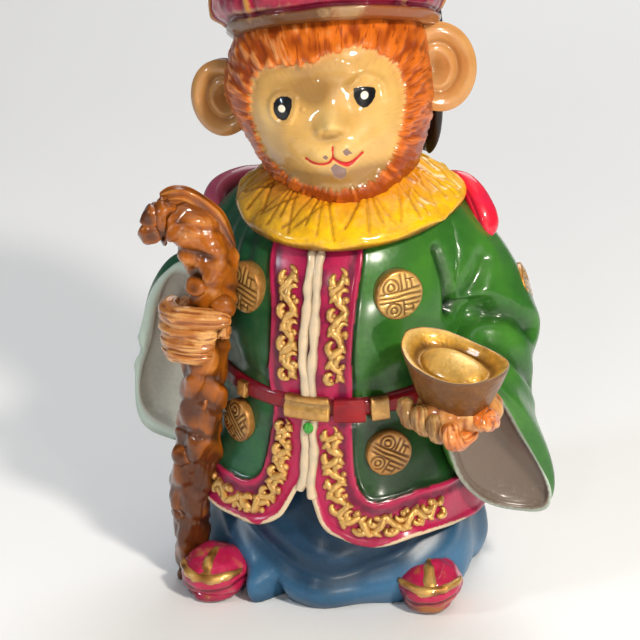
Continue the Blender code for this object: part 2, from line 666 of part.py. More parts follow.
def main():
    """Builds the one casting."""
    for old in list(bpy.data.objects):
        bpy.data.objects.remove(old)
    body = bmesh.new()
    for group in skins().values():
        for rings in group:
            add_skin(body, rings)
    mesh = bpy.data.meshes.new("monkey_figure")
    body.to_mesh(mesh)
    body.free()
    figure = bpy.data.objects.new("monkey_figure", mesh)
    bpy.context.scene.collection.objects.link(figure)
    figure.data.materials.append(glaze())

    fuse = figure.modifiers.new("fuse", "REMESH")
    fuse.mode = "VOXEL"
    fuse.voxel_size = VOXEL
    fuse.adaptivity = 0
    bpy.context.view_layer.update()
    graph = bpy.context.evaluated_depsgraph_get()
    fused = sum(len(face.vertices) - 2 for face in figure.evaluated_get(graph).data.polygons)
    thin = figure.modifiers.new("thin", "DECIMATE")
    thin.ratio = min(1.0, TRIANGLES / fused)
    cut = figure.modifiers.new("flat_foot", "BOOLEAN")
    cut.operation = "DIFFERENCE"
    cut.object = foot_cutter(2 * FIGURE_HEIGHT)


if __name__ == "__main__":
    main()
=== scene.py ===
"""Dresses the casting of a robed monkey figure with its carved relief, painted colours and gloss.

Every piece rides on the casting. Shapes are surfaces worked out with numpy in millimetres, in the frame of
the CAD, and each carries named values, such as the distance to a painted edge, that its finish reads.
"""

import logging
import math
from dataclasses import dataclass, field
from enum import Enum
from typing import Sequence

import bpy
import numpy as np
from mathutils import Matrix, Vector


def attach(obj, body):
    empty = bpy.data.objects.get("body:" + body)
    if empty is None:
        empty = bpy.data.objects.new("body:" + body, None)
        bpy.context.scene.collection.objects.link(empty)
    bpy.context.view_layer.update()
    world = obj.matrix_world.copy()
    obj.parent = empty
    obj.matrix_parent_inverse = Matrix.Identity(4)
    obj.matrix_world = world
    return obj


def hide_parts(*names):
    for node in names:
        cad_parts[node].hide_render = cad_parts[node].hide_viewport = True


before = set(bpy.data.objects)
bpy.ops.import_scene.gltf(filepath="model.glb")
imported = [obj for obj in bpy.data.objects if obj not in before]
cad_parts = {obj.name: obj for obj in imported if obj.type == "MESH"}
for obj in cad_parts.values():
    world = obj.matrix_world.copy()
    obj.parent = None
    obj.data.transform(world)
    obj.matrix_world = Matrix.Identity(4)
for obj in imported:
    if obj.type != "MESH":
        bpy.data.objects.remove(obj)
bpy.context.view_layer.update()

LOG = logging.getLogger("monkey_figure")

UNIT = 0.001
TINY, TINIEST = 1e-6, 1e-9
WHITE = (1.0, 1.0, 1.0, 1.0)
ACROSS, UPWARD = (1, 0, 0), (0, 0, 1)
NODE = "monkey_figure"
BODY = "root"
LATTICE = np.random.default_rng(1404).random((32, 32, 32))


# Shapes


def turn(axis: str, degrees: float) -> np.ndarray:
    """The 3x3 matrix that turns a column vector about one axis.

    Args:
        axis: X, Y or Z.
        degrees: the angle.

    Returns:
        The matrix.
    """
    c, s = math.cos(math.radians(degrees)), math.sin(math.radians(degrees))
    return {
        "X": np.array([[1, 0, 0], [0, c, -s], [0, s, c]]),
        "Y": np.array([[c, 0, s], [0, 1, 0], [-s, 0, c]]),
        "Z": np.array([[c, -s, 0], [s, c, 0], [0, 0, 1]]),
    }[axis]


SKEW = turn("X", 37) @ turn("Y", 31) @ turn("Z", 26)


def eased(knots: Sequence[float], values: Sequence, at: np.ndarray) -> np.ndarray:
    """Values between knots, on a cubic that passes through each of them.

    Args:
        knots: rising positions.
        values: a number or a row of numbers at each knot.
        at: where to read the curve.

    Returns:
        The values at those places.
    """
    knots, values, at = np.asarray(knots, float), np.asarray(values, float), np.asarray(at, float)
    slopes = np.gradient(values, knots, axis=0)
    i = np.clip(np.searchsorted(knots, at, side="right") - 1, 0, len(knots) - 2)
    span = knots[i + 1] - knots[i]
    t = clipped((at - knots[i]) / span)
    if values.ndim > 1:
        t, span = t[..., None], span[..., None]
    return (
        (2 * t**3 - 3 * t**2 + 1) * values[i]
        + (t**3 - 2 * t**2 + t) * span * slopes[i]
        + (3 * t**2 - 2 * t**3) * values[i + 1]
        + (t**3 - t**2) * span * slopes[i + 1]
    )


def bump(x: np.ndarray, width: float) -> np.ndarray:
    """A smooth hill: e to the minus (x over the width) squared."""
    return np.exp(-((np.asarray(x) / width) ** 2))


def step(x: np.ndarray, width: float) -> np.ndarray:
    """A smooth rise from 0 to 1 about x = 0: half of one plus the hyperbolic tangent."""
    return 0.5 + 0.5 * np.tanh(np.asarray(x) / width)


def clipped(x: np.ndarray) -> np.ndarray:
    """Values held between 0 and 1."""
    return np.clip(x, 0, 1)


def bent(wave: np.ndarray, power: float) -> np.ndarray:
    """A sine or cosine bent towards a square or a point: its sign times its size to a power."""
    return np.sign(wave) * np.abs(wave) ** power


def wrapped(angle: np.ndarray) -> np.ndarray:
    """Angles brought between minus and plus half a turn."""
    return np.mod(angle + math.pi, 2 * math.pi) - math.pi


def hills(x: np.ndarray, z: np.ndarray, table: Sequence[Sequence[float]]) -> np.ndarray:
    """The sum of soft hills; each row is a height, a place and width across, and a place and width up."""
    return sum(height * bump(x - u, wide) * bump(z - v, tall) for height, u, wide, v, tall in table)


def around(count: int) -> np.ndarray:
    """Angles once round a ring, without the repeated last one."""
    return np.linspace(0, 2 * math.pi, count, endpoint=False)


def placed(points: np.ndarray, turning: np.ndarray, centre: Sequence[float]) -> np.ndarray:
    """Points of a local frame in the figure's frame: turned, then moved."""
    return points @ np.asarray(turning).T + np.asarray(centre)


def unit(vectors: np.ndarray) -> np.ndarray:
    """Vectors of length 1 in the same directions."""
    return vectors / np.linalg.norm(vectors, axis=-1, keepdims=True)


def sideways(line: np.ndarray, out: np.ndarray) -> np.ndarray:
    """Unit vectors across a line that lies on a surface: the cross product of its run and the way out."""
    return unit(np.cross(unit(np.gradient(line, axis=0)), out))


def with_rows(value: np.ndarray, fill: float, rows: int = 2) -> np.ndarray:
    """A value by row and column, with more rows below it that all hold one number."""
    return np.concatenate([value, np.full((rows, value.shape[1]), float(fill))])


def grain(points: np.ndarray, period: float, seed: float = 0.0) -> np.ndarray:
    """Smooth random values: a seeded lattice of numbers, blended between the eight nearest.

    Args:
        points: places, in mm, the last axis x, y, z.
        period: the lattice spacing in mm.
        seed: shifts the lattice, for another pattern.

    Returns:
        Values from 0 to 1.
    """
    cell = np.asarray(points) / period + seed * 7.31
    low = np.floor(cell).astype(int)
    share = cell - low
    share = share * share * (3 - 2 * share)
    total = np.zeros(cell.shape[:-1])
    for corner in range(8):
        offset = np.array([corner >> axis & 1 for axis in range(3)])
        weight = np.prod(np.where(offset, share, 1 - share), axis=-1)
        i = (low + offset) % len(LATTICE)
        total += weight * LATTICE[i[..., 0], i[..., 1], i[..., 2]]
    return total


def swirled(points: np.ndarray, period: float, seed: float = 0.0) -> np.ndarray:
    """Grain of two sizes on two turned lattices, so that no lump lines up with the axes."""
    first = np.asarray(points) @ SKEW
    return 0.6 * grain(first, period, seed) + 0.4 * grain(first @ SKEW, 0.62 * period, seed + 1)


def ridged(points: np.ndarray, period: float, seed: float = 0.0) -> np.ndarray:
    """Sharp crests and round valleys: one minus the distance of the grain from its middle, doubled."""
    return 1 - np.abs(2 * grain(points, period, seed) - 1) * 2


def end_rounding(s: np.ndarray, share: float) -> np.ndarray:
    """Radius factor that rounds both ends of a tube: a quarter circle over the end share of its length."""
    near = clipped(np.minimum(s, 1 - s) / share)
    return np.sqrt(1 - (1 - near) ** 2)


def facings(rings: np.ndarray) -> np.ndarray:
    """Unit normals of a skin of rings that point away from the rings' middles.

    Args:
        rings: rows by sides by 3.

    Returns:
        An array of the same shape.
    """
    along = np.gradient(rings, axis=0)
    across = np.roll(rings, -1, 1) - np.roll(rings, 1, 1)
    facing = np.cross(across, along)
    facing /= np.maximum(np.linalg.norm(facing, axis=2, keepdims=True), TINIEST)
    outward = ((rings - rings.mean(1, keepdims=True)) * facing).sum()
    return facing if outward > 0 else -facing


def raised(rings: np.ndarray, amount: np.ndarray) -> np.ndarray:
    """A skin moved along its own normals by an amount at each point."""
    return rings + facings(rings) * np.asarray(amount)[..., None]


def tube(
    stations: Sequence[Sequence[float]],
    side: Sequence[float] = (0, 0, 1),
    rings: int = 60,
    sides: int = 32,
    ends: float = 0.12,
) -> np.ndarray:
    """A round or flattened tube with rounded ends along a smooth path.

    Args:
        stations: x, y, z, radius and optionally the radius across the side direction.
        side: the direction that the flattened radius is across.
        rings: rings along the path.
        sides: points round each ring.
        ends: share of the length over which each end rounds off.

    Returns:
        The rings.
    """
    rows = np.array([[*row, row[3]] if len(row) == 4 else row for row in stations], float)
    s = np.linspace(0, 1, rings)
    path = eased(np.linspace(0, 1, len(rows)), rows, s)
    along = unit(np.gradient(path[:, :3], s, axis=0))
    across = unit(np.cross(along, np.asarray(side, float)))
    up = np.cross(across, along)
    round_off = end_rounding(s, ends)[:, None, None]
    angle = around(sides)[None, :, None]
    wide = np.cos(angle) * across[:, None] * path[:, None, 3:4]
    high = np.sin(angle) * up[:, None] * path[:, None, 4:5]
    return path[:, None, :3] + round_off * (wide + high)


def ball(
    centre: Sequence[float],
    radii: Sequence[float],
    turning: np.ndarray = np.eye(3),
    rings: int = 40,
    sides: int = 56,
    pole: float = 0.02,
) -> np.ndarray:
    """An ellipsoid as rings from near its lower to near its upper pole.

    Args:
        centre: its middle.
        radii: its half axes.
        turning: a matrix that turns it.
        rings: rings between the poles.
        sides: points round each ring.
        pole: angle left open at each pole, which the fan of its last ring closes.

    Returns:
        The rings.
    """
    a = np.linspace(pole, math.pi - pole, rings)[:, None]
    b = around(sides)[None]
    points = np.stack([np.sin(a) * np.cos(b), np.sin(a) * np.sin(b), -np.cos(a) * np.ones_like(b)], -1)
    return placed(points * np.asarray(radii), turning, centre)


def path_distance(u: np.ndarray, v: np.ndarray, path: Sequence[Sequence[float]]) -> np.ndarray:
    """Distance in a plane from each place to a path of straight runs.

    Args:
        u: first coordinates.
        v: second coordinates.
        path: corner points.

    Returns:
        The distance to the nearest run.
    """
    nearest = np.full(np.broadcast(u, v).shape, np.inf)
    for start, end in zip(path[:-1], path[1:]):
        run = np.subtract(end, start)
        t = clipped(((u - start[0]) * run[0] + (v - start[1]) * run[1]) / max(run @ run, TINIEST))
        nearest = np.minimum(nearest, np.hypot(u - start[0] - t * run[0], v - start[1] - t * run[1]))
    return nearest


def inside_distance(u: np.ndarray, v: np.ndarray, outline: Sequence[Sequence[float]]) -> np.ndarray:
    """Signed distance to a closed outline: above 0 inside, where a ray crosses it an odd number of times.

    Args:
        u: first coordinates.
        v: second coordinates.
        outline: corner points, the last joined to the first.

    Returns:
        The distance to the nearest run, below 0 outside.
    """
    closed = [*outline, outline[0]]
    crossings = np.zeros(np.broadcast(u, v).shape, bool)
    for (u0, v0), (u1, v1) in zip(closed[:-1], closed[1:]):
        if v0 != v1:
            spans = (v0 > v) != (v1 > v)
            crossings ^= spans & (u < (u1 - u0) * (v - v0) / (v1 - v0) + u0)
    return np.where(crossings, 1, -1) * path_distance(u, v, closed)


def line_distance(points: np.ndarray, line: Sequence[Sequence[float]]) -> np.ndarray:
    """Distance in space from each point to a line of straight runs.

    Args:
        points: places.
        line: corner points.

    Returns:
        The distance to the nearest run.
    """
    nearest = np.full(points.shape[:-1], np.inf)
    for start, end in zip(line[:-1], line[1:]):
        run = np.subtract(end, start)
        t = clipped((points - np.asarray(start)) @ run / (run @ run))
        nearest = np.minimum(nearest, np.linalg.norm(points - start - t[..., None] * run, axis=-1))
    return nearest


def melted(
    points: np.ndarray,
    others: np.ndarray,
    wanted: np.ndarray,
    height: float = 2.0,
    spread: float = 2.0,
    rounding: float = 0.8,
    least: float = 0.02,
    block_size: int = 800,
) -> np.ndarray:
    """How far a surface rises to meet another in a soft fillet: the height, fading with the distance.

    Args:
        points: places on the surface, in mm.
        others: places close together on the other surface.
        wanted: share of the rise that is kept at each place.
        height: the rise where they meet.
        spread: the distance over which it fades.
        rounding: rounds the fillet's crest, in square mm.
        least: the share below which nothing is measured.
        block_size: places measured at a time.

    Returns:
        The rise at each place.
    """
    flat, others = points.reshape(-1, 3), others.reshape(-1, 3)
    reach = 5 * spread
    apart = np.full(len(flat), reach)
    wanted = wanted * np.ones(points.shape[:-1])
    inside = np.all((flat > others.min(0) - reach) & (flat < others.max(0) + reach), axis=1)
    close = np.flatnonzero(inside & (wanted.ravel() > least))
    for block in np.array_split(close, 1 + len(close) // block_size):
        here = flat[block]
        squares = (here**2).sum(1)[:, None] + (others**2).sum(1)[None] - 2 * here @ others.T
        apart[block] = np.minimum(reach, np.sqrt(np.maximum(squares.min(1), 0)))
    soft = np.sqrt(apart**2 + rounding) - math.sqrt(rounding)
    return wanted * (height * np.exp(-soft / spread)).reshape(points.shape[:-1])


def smooth_path(points: Sequence[Sequence[float]], count: int) -> np.ndarray:
    """A smooth curve through points, evenly spaced in their number."""
    return eased(np.arange(len(points)), points, np.linspace(0, len(points) - 1, count))


@dataclass
class Skin:
    """A closed surface of rings.

    Each ring's points are in mm. A value is a number for each point, or anything that spreads over them, and
    strand gives each point's place in a space that follows its hair.
    """

    rings: np.ndarray
    values: dict[str, np.ndarray | float] = field(default_factory=dict)
    strand: np.ndarray | None = None

    @staticmethod
    def with_poles(grid: np.ndarray) -> np.ndarray:
        """What a grid holds at each point, then its mean round the first and the last ring, for the poles."""
        return np.concatenate([grid.reshape(-1, *grid.shape[2:]), grid[:1].mean(1), grid[-1:].mean(1)])

    def points(self) -> np.ndarray:
        """The rings' points and the two poles."""
        return self.with_poles(self.rings)

    def value(self, name: str) -> np.ndarray:
        """A named value at each point and pole, 0 where the skin doesn't give it."""
        return self.with_poles(np.broadcast_to(self.values.get(name, 0.0), self.rings.shape[:2]))

    def faces(self) -> tuple[np.ndarray, np.ndarray]:
        """The quads that join the rings, and the triangles that close both ends by a fan.

        Where the signed volume, the sum of the corners' triple products, is below 0, every face is turned
        round, so that all point outwards.

        Returns:
            The quads' and the triangles' corners.
        """
        rows, sides = self.rings.shape[:2]
        i = np.arange(rows * sides).reshape(rows, sides)
        j = np.roll(i, -1, axis=1)
        first, last = np.full(sides, rows * sides), np.full(sides, rows * sides + 1)
        quads = np.stack([i[:-1], j[:-1], j[1:], i[1:]], -1).reshape(-1, 4)
        fans = np.concatenate([np.stack([first, j[0], i[0]], -1), np.stack([last, i[-1], j[-1]], -1)])
        corners = self.points()[np.concatenate([fans, quads[:, :3], quads[:, [0, 2, 3]]])]
        volume = np.einsum("ij,ij->i", corners[:, 0], np.cross(corners[:, 1], corners[:, 2])).sum()
        return (quads[:, ::-1], fans[:, ::-1]) if volume < 0 else (quads, fans)


def surface(name: str, skins: Sequence[Skin]) -> bpy.types.Mesh:
    """Makes one mesh of closed skins, with their values as attributes of its points.

    Args:
        name: the mesh's name.
        skins: the closed skins.

    Returns:
        The mesh.
    """
    points = [skin.points() for skin in skins]
    bases = np.cumsum([0, *(len(part) for part in points)])
    faces = [skin.faces() for skin in skins]
    quads = np.concatenate([four + base for (four, _), base in zip(faces, bases)])
    fans = np.concatenate([three + base for (_, three), base in zip(faces, bases)])
    mesh = bpy.data.meshes.new(name)
    mesh.vertices.add(int(bases[-1]))
    mesh.vertices.foreach_set("co", (np.concatenate(points) * UNIT).astype(np.float32).ravel())
    mesh.loops.add(quads.size + fans.size)
    mesh.loops.foreach_set("vertex_index", np.concatenate([quads.ravel(), fans.ravel()]).astype(np.int32))
    mesh.polygons.add(len(quads) + len(fans))
    corners = np.repeat((quads.shape[1], fans.shape[1]), (len(quads), len(fans)))
    mesh.polygons.foreach_set("loop_start", (np.cumsum(corners) - corners).astype(np.int32))
    mesh.update(calc_edges=True)
    mesh.validate()
    mesh.shade_smooth()
    for key in sorted({key for skin in skins for key in skin.values}):
        numbers = np.concatenate([skin.value(key) for skin in skins]).astype(np.float32)
        mesh.attributes.new(key, "FLOAT", "POINT").data.foreach_set("value", numbers)
    strands = [skin.with_poles(skin.strand) for skin in skins if skin.strand is not None]
    if strands:
        places = np.concatenate(strands).astype(np.float32).ravel()
        mesh.attributes.new("strand", "FLOAT_VECTOR", "POINT").data.foreach_set("vector", places)
    return mesh


def cast(name: str, skins: Sequence[Skin], finish: "Lacquer") -> None:
    """Makes one piece of the figure from closed skins, and sets it on the casting.

    Args:
        name: the piece's name.
        skins: the closed skins.
        finish: the paint and gloss.
    """
    mesh = surface(name, skins)
    mesh.materials.append(finish.material())
    piece = bpy.data.objects.new(name, mesh)
    bpy.context.scene.collection.objects.link(piece)
    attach(piece, BODY)
    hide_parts(NODE)
    LOG.info("%s: %d skins, %d faces", name, len(skins), len(mesh.polygons))


# Finishes


def tint(red: int, green: int, blue: int) -> tuple[float, float, float, float]:
    """A linear colour from screen values of 0 to 255."""
    screen = (red / 255, green / 255, blue / 255)
    return (*(c / 12.92 if c <= 0.04045 else ((c + 0.055) / 1.055) ** 2.4 for c in screen), 1.0)


class Paint(Enum):
    """The colours in the painter's box."""

    CREAM_SKIN = tint(224, 174, 94)
    LIT_SKIN = tint(242, 206, 132)
    SHADED_SKIN = tint(142, 104, 56)
    ORANGE_FUR = tint(220, 112, 28)
    DEEP_FUR = tint(136, 48, 6)
    FUR_TIP = tint(226, 158, 98)
    INK = tint(10, 12, 18)
    EYE_LIGHT = tint(250, 240, 215)
    LIP_RED = tint(205, 30, 35)
    CHIP_GREY = tint(140, 112, 104)
    CRIMSON = tint(168, 22, 58)
    DEEP_CRIMSON = tint(92, 10, 34)
    MAGENTA = tint(196, 34, 84)
    PLUM = tint(98, 8, 48)
    SCARLET = tint(150, 6, 10)
    RIBBON_CRIMSON = tint(230, 24, 54)
    DUSKY_PURPLE = tint(150, 84, 110)
    RIM_BROWN = tint(100, 62, 30)
    RIM_OCHRE = tint(172, 138, 96)
    RIM_TAN = tint(150, 78, 30)
    YELLOW = tint(255, 194, 0)
    DEEP_YELLOW = tint(136, 84, 4)
    ROBE_GREEN = tint(46, 104, 34)
    DEEP_GREEN = tint(10, 38, 16)
    TEAL = tint(18, 72, 58)
    ROSE = tint(176, 22, 74)
    BRONZE = tint(124, 76, 36)
    OLIVE_GOLD = tint(134, 104, 56)
    ORANGE = tint(228, 112, 28)
    LEAF_GREEN = tint(78, 142, 44)
    CREAM = tint(218, 194, 160)
    GOLD = tint(190, 132, 62)
    DEEP_GOLD = tint(84, 46, 18)
    PALE_GOLD = tint(250, 208, 122)
    BRIGHT_GOLD = tint(222, 164, 58)
    EAR_TAN = tint(206, 150, 88)
    SILVER = tint(150, 150, 142)
    BEAD_GREEN = tint(70, 176, 66)
    SKIRT_BLUE = tint(64, 118, 158)
    DEEP_BLUE = tint(12, 42, 66)
    AMBER = tint(170, 90, 8)
    DEEP_BARK = tint(56, 22, 6)
    BARK_LIGHT = tint(222, 150, 70)
    PAW = tint(190, 120, 58)
    DEEP_PAW = tint(134, 68, 22)
    PAW_LIGHT = tint(244, 192, 120)
    LINING_PALE = tint(204, 204, 190)
    LINING_LIP = tint(188, 204, 188)
    LINING_SHADE = tint(112, 96, 84)
    LINING_LILAC = tint(108, 94, 82)
    BLACK = tint(24, 21, 19)


class Wire:
    """A number in a shader tree; arithmetic on it adds Math nodes."""

    def __init__(self, bench: "Bench", socket: bpy.types.NodeSocket) -> None:
        """Keeps the tree's bench and the output socket."""
        self.bench = bench
        self.socket = socket

    def _with(self, operation: str, *others: "Wire | float", clamp: bool = False) -> "Wire":
        """Joins this number to others by one Math node.

        Args:
            operation: the node's operation.
            others: the numbers after this one.
            clamp: whether the result is held between 0 and 1.

        Returns:
            The result.
        """
        made = self.bench.node("ShaderNodeMath", {"operation": operation, "use_clamp": clamp}, {0: self})
        for index, other in enumerate(others, 1):
            self.bench.plug(made.inputs[index], other)
        return Wire(self.bench, made.outputs[0])

    def __add__(self, other: "Wire | float") -> "Wire":
        """This plus the other."""
        return self._with("ADD", other)

    def __mul__(self, other: "Wire | float") -> "Wire":
        """This times the other."""
        return self._with("MULTIPLY", other)

    def __sub__(self, other: "Wire | float") -> "Wire":
        """This minus the other."""
        return self._with("SUBTRACT", other)

    def __rsub__(self, other: float) -> "Wire":
        """The other minus this."""
        return (self * -1.0) + other

    __rmul__ = __mul__

    def ramped(self, low: float, high: float) -> "Wire":
        """Runs from 0 at low to 1 at high, and no further."""
        return ((self - low) * (1 / (high - low)))._with("ADD", 0.0, clamp=True)


class Bench:
    """One material's node tree and the few kinds of node that the finishes use."""

    def __init__(self, name: str) -> None:
        """Starts a material that holds only its shader and output.

        Args:
            name: the material's name.
        """
        self.made = bpy.data.materials.new(name)
        self.made.use_nodes = True
        self.tree = self.made.node_tree
        self.shader = self.tree.nodes["Principled BSDF"]
        self.place = self.node("ShaderNodeTexCoord").outputs["Object"]

    def plug(self, socket: bpy.types.NodeSocket, value: object) -> None:
        """Links or sets one input socket."""
        if isinstance(value, Wire):
            self.tree.links.new(value.socket, socket)
        elif isinstance(value, bpy.types.NodeSocket):
            self.tree.links.new(value, socket)
        else:
            socket.default_value = value

    def node(self, kind: str, settings: dict | None = None, sockets: dict | None = None) -> bpy.types.Node:
        """Adds one node.

        Args:
            kind: the node's type.
            settings: its properties, set first.
            sockets: values or links of its input sockets.

        Returns:
            The node.
        """
        made = self.tree.nodes.new(kind)
        for key, value in (settings or {}).items():
            setattr(made, key, value)
        for key, value in (sockets or {}).items():
            self.plug(made.inputs[key], value)
        return made

    def value(self, name: str) -> Wire:
        """A named value of the piece's surface."""
        return Wire(self, self.node("ShaderNodeAttribute", {"attribute_name": name}).outputs["Fac"])

    def noise(self, per_mm: float, detail: float = 2.0) -> Wire:
        """Noise about 0.5 in the piece's own space, with a number of waves to the millimetre."""
        made = self.node(
            "ShaderNodeTexNoise", {}, {"Vector": self.place, "Scale": per_mm / UNIT, "Detail": detail}
        )
        return Wire(self, made.outputs["Fac"])

    def hair(self, per_mm: float) -> Wire:
        """Noise about 0.5 in the space that follows the hair, so that it is drawn out into strands.

        Args:
            per_mm: waves to a unit of that space.

        Returns:
            The noise.
        """
        strand = self.node("ShaderNodeAttribute", {"attribute_name": "strand"}).outputs["Vector"]
        made = self.node("ShaderNodeTexNoise", {}, {"Vector": strand, "Scale": per_mm, "Detail": 1.0})
        return Wire(self, made.outputs["Fac"])

    def mix(self, share: "Wire | float", below: object, above: object) -> bpy.types.NodeSocket:
        """A colour between two, by a share."""
        return self.node("ShaderNodeMix", {"data_type": "RGBA"}, {0: share, 6: below, 7: above}).outputs[2]


@dataclass(frozen=True)
class Layer:
    """Paint that covers a surface where a named value is above a level, with a brush-drawn edge.

    The edge fades over the soft range, wanders by the wobble and follows the hair where it is hairy; the
    cover is how much of the paint below is hidden.
    """

    paint: Paint
    where: str
    level: float = 0.0
    soft: float = 0.12
    wobble: float = 0.25
    cover: float = 1.0
    hairy: float = 0.0


def wash(paint: Paint, where: str, wobble: float = 0.2, cover: float = 0.8) -> Layer:
    """A soft layer that fades in over the whole range of its value."""
    return Layer(paint, where, 0.5, 0.5, wobble, cover)


@dataclass(frozen=True)
class Lacquer:
    """Painted colour under a glossy clear coat.

    Mottled paint drifts through the ground, painted shade darkens hollows, creases, undersides and the sides
    away from the light, and a painted highlight lightens the crests. The tooth is the height in mm of the
    fine relief, and the hair's depth that of the strands, whose gaps take the dark paint.
    """

    name: str
    ground: Paint
    layers: tuple[Layer, ...] = ()
    # Painted shade: its paint and share, where the value hollow is high.
    shade_paint: Paint | None = None
    shade_share: float = 1.0
    # Painted highlight: its paint and share, where the value crest is high.
    highlight_paint: Paint | None = None
    highlight_share: float = 1.0
    mottled: Paint | None = None
    mottling: float = 0.3
    mottle_per_mm: float = 0.22
    roughness: float = 0.38
    metallic: float = 0.0
    coat: float = 0.85
    coat_roughness: float = 0.06
    coat_ior: float = 1.42
    specular: float = 0.25
    tooth: float = 0.05
    tooth_per_mm: float = 2.2
    hair_depth: float = 0.0
    hair_dark: Paint | None = None

    def material(self) -> bpy.types.Material:
        """Builds the material once, and gives the same one again after that.

        The ground colour is mottled and each layer covers what lies under it. Then painted shade darkens it
        where the value hollow is high, and a painted highlight lightens it where the value crest is high.

        Returns:
            The material.
        """
        known = bpy.data.materials.get(self.name)
        if known:
            return known
        bench = Bench(self.name)
        drift = bench.noise(self.mottle_per_mm)
        brush = bench.noise(1.1, 3.0)
        colour: object = self.ground.value
        if self.mottled:
            colour = bench.mix(drift.ramped(0.38, 0.68) * self.mottling, colour, self.mottled.value)
        hair = bench.hair(1.0) if self.hair_dark else None
        for layer in self.layers:
            edge = bench.value(layer.where) + (brush - 0.5) * (2 * layer.wobble)
            if layer.hairy and hair:
                edge = edge + (hair - 0.5) * layer.hairy
            mask = edge.ramped(layer.level - layer.soft, layer.level + layer.soft) * layer.cover
            colour = bench.mix(mask, colour, layer.paint.value)
        # Painted shade in the hollows, then a painted highlight on the crests.
        if self.shade_paint:
            deep = (bench.value("hollow") + (brush - 0.5) * 0.3).ramped(0.1, 1.0) * self.shade_share
            colour = bench.mix(deep, colour, self.shade_paint.value)
        if self.highlight_paint:
            high = (bench.value("crest") + (brush - 0.5) * 0.7).ramped(0.35, 1.0) * self.highlight_share
            colour = bench.mix(high, colour, self.highlight_paint.value)
        height = bench.noise(self.tooth_per_mm, 3.0) + brush * 0.5
        if hair:
            furry = (bench.value("fur") + (hair - 0.5) * 1.5).ramped(0.0, 0.3)
            colour = bench.mix((0.46 - hair).ramped(0.0, 0.14) * furry * 0.75, colour, self.hair_dark.value)
            height = height + hair * furry * (self.hair_depth / self.tooth)
        shader = bench.shader
        bench.plug(shader.inputs["Base Color"], colour)
        bench.plug(shader.inputs["Roughness"], brush * 0.16 + (self.roughness - 0.08))
        shader.inputs["Metallic"].default_value = self.metallic
        bench.plug(shader.inputs["Coat Weight"], (1.0 - 0.75 * furry) * self.coat if hair else self.coat)
        shader.inputs["Coat Roughness"].default_value = self.coat_roughness
        shader.inputs["Coat IOR"].default_value = self.coat_ior
        shader.inputs["Specular IOR Level"].default_value = self.specular
        sockets = {"Strength": 0.6, "Distance": self.tooth * UNIT, "Height": height}
        bench.plug(shader.inputs["Normal"], bench.node("ShaderNodeBump", {}, sockets).outputs["Normal"])
        return bench.made


FACE_AND_FUR = Lacquer(
    "face_and_fur_lacquer",
    Paint.CREAM_SKIN,
    layers=(
        wash(Paint.LIT_SKIN, "lit"),
        wash(Paint.SHADED_SKIN, "brow_shade", 0.1, 0.8),
        Layer(Paint.FUR_TIP, "fringe", 0.6, 0.3, 0.1, 0.7, 1.5),
        Layer(Paint.ORANGE_FUR, "fur", 0.0, 0.15, 0.1, 1.0, 1.5),
        # Dark fur paint in the grooves, with painted shade under the chin and on the left side.
        Layer(Paint.DEEP_FUR, "fur_groove", 0.5, 0.5, 0.1, 0.85, 0.6),
        # Pale fur tips, with a painted sheen over the upper left of the fur.
        Layer(Paint.FUR_TIP, "fur_tip", 0.65, 0.25, 0.1, 0.6, 1.6),
        Layer(Paint.INK, "eye", 0.0, 0.07, 0.03),
        Layer(Paint.EYE_LIGHT, "eye_light", 0.0, 0.08, 0.03),
        Layer(Paint.LIP_RED, "lip", 0.0, 0.1, 0.12),
        Layer(Paint.CHIP_GREY, "chip", 0.0, 0.05, 0.1),
    ),
    mottled=Paint.SHADED_SKIN,
    mottling=0.25,
    coat_roughness=0.05,
    tooth=0.03,
    hair_depth=0.3,
    hair_dark=Paint.DEEP_FUR,
)
EAR_SKIN = Lacquer(
    "ear_lacquer",
    Paint.EAR_TAN,
    # Painted shade in the ear's bowl, and over the left ear.
    layers=(Layer(Paint.SHADED_SKIN, "bowl", 0.5, 0.6, 0.1, 0.7),),
    shade_paint=Paint.DEEP_PAW,
    shade_share=0.5,
    mottled=Paint.PAW,
    mottling=0.4,
    tooth=0.03,
)
HAT_CLOTH = Lacquer(
    "hat_lacquer",
    Paint.CRIMSON,
    layers=(
        Layer(Paint.RIM_BROWN, "rim", 0.0, 0.15, 0.35),
        # Painted light: the rim's right side is painted warmer and lighter.
        wash(Paint.RIM_TAN, "rim_warm", 0.3, 0.85),
        # A pale patch on the rim, and a painted highlight along its top edge.
        Layer(Paint.RIM_OCHRE, "rim_worn", 0.0, 0.35, 0.55, 0.85),
        Layer(Paint.GOLD, "gilt", 0.0, 0.2, 0.3),
    ),
    shade_paint=Paint.DEEP_CRIMSON,
    mottled=Paint.PLUM,
    mottling=0.75,
    mottle_per_mm=0.3,
    tooth=0.12,
    tooth_per_mm=1.4,
)
COLLAR_YELLOW = Lacquer(
    "collar_lacquer",
    Paint.YELLOW,
    layers=(
        # Painted shade on the collar's left side.
        wash(Paint.OLIVE_GOLD, "dull", 0.5, 0.6),
        # Painted shade: the collar is painted orange under the chin.
        wash(Paint.ORANGE_FUR, "under_chin", 0.3, 0.7),
    ),
    shade_paint=Paint.DEEP_YELLOW,
    mottled=Paint.OLIVE_GOLD,
    mottle_per_mm=0.3,
    tooth=0.17,
    tooth_per_mm=1.2,
)
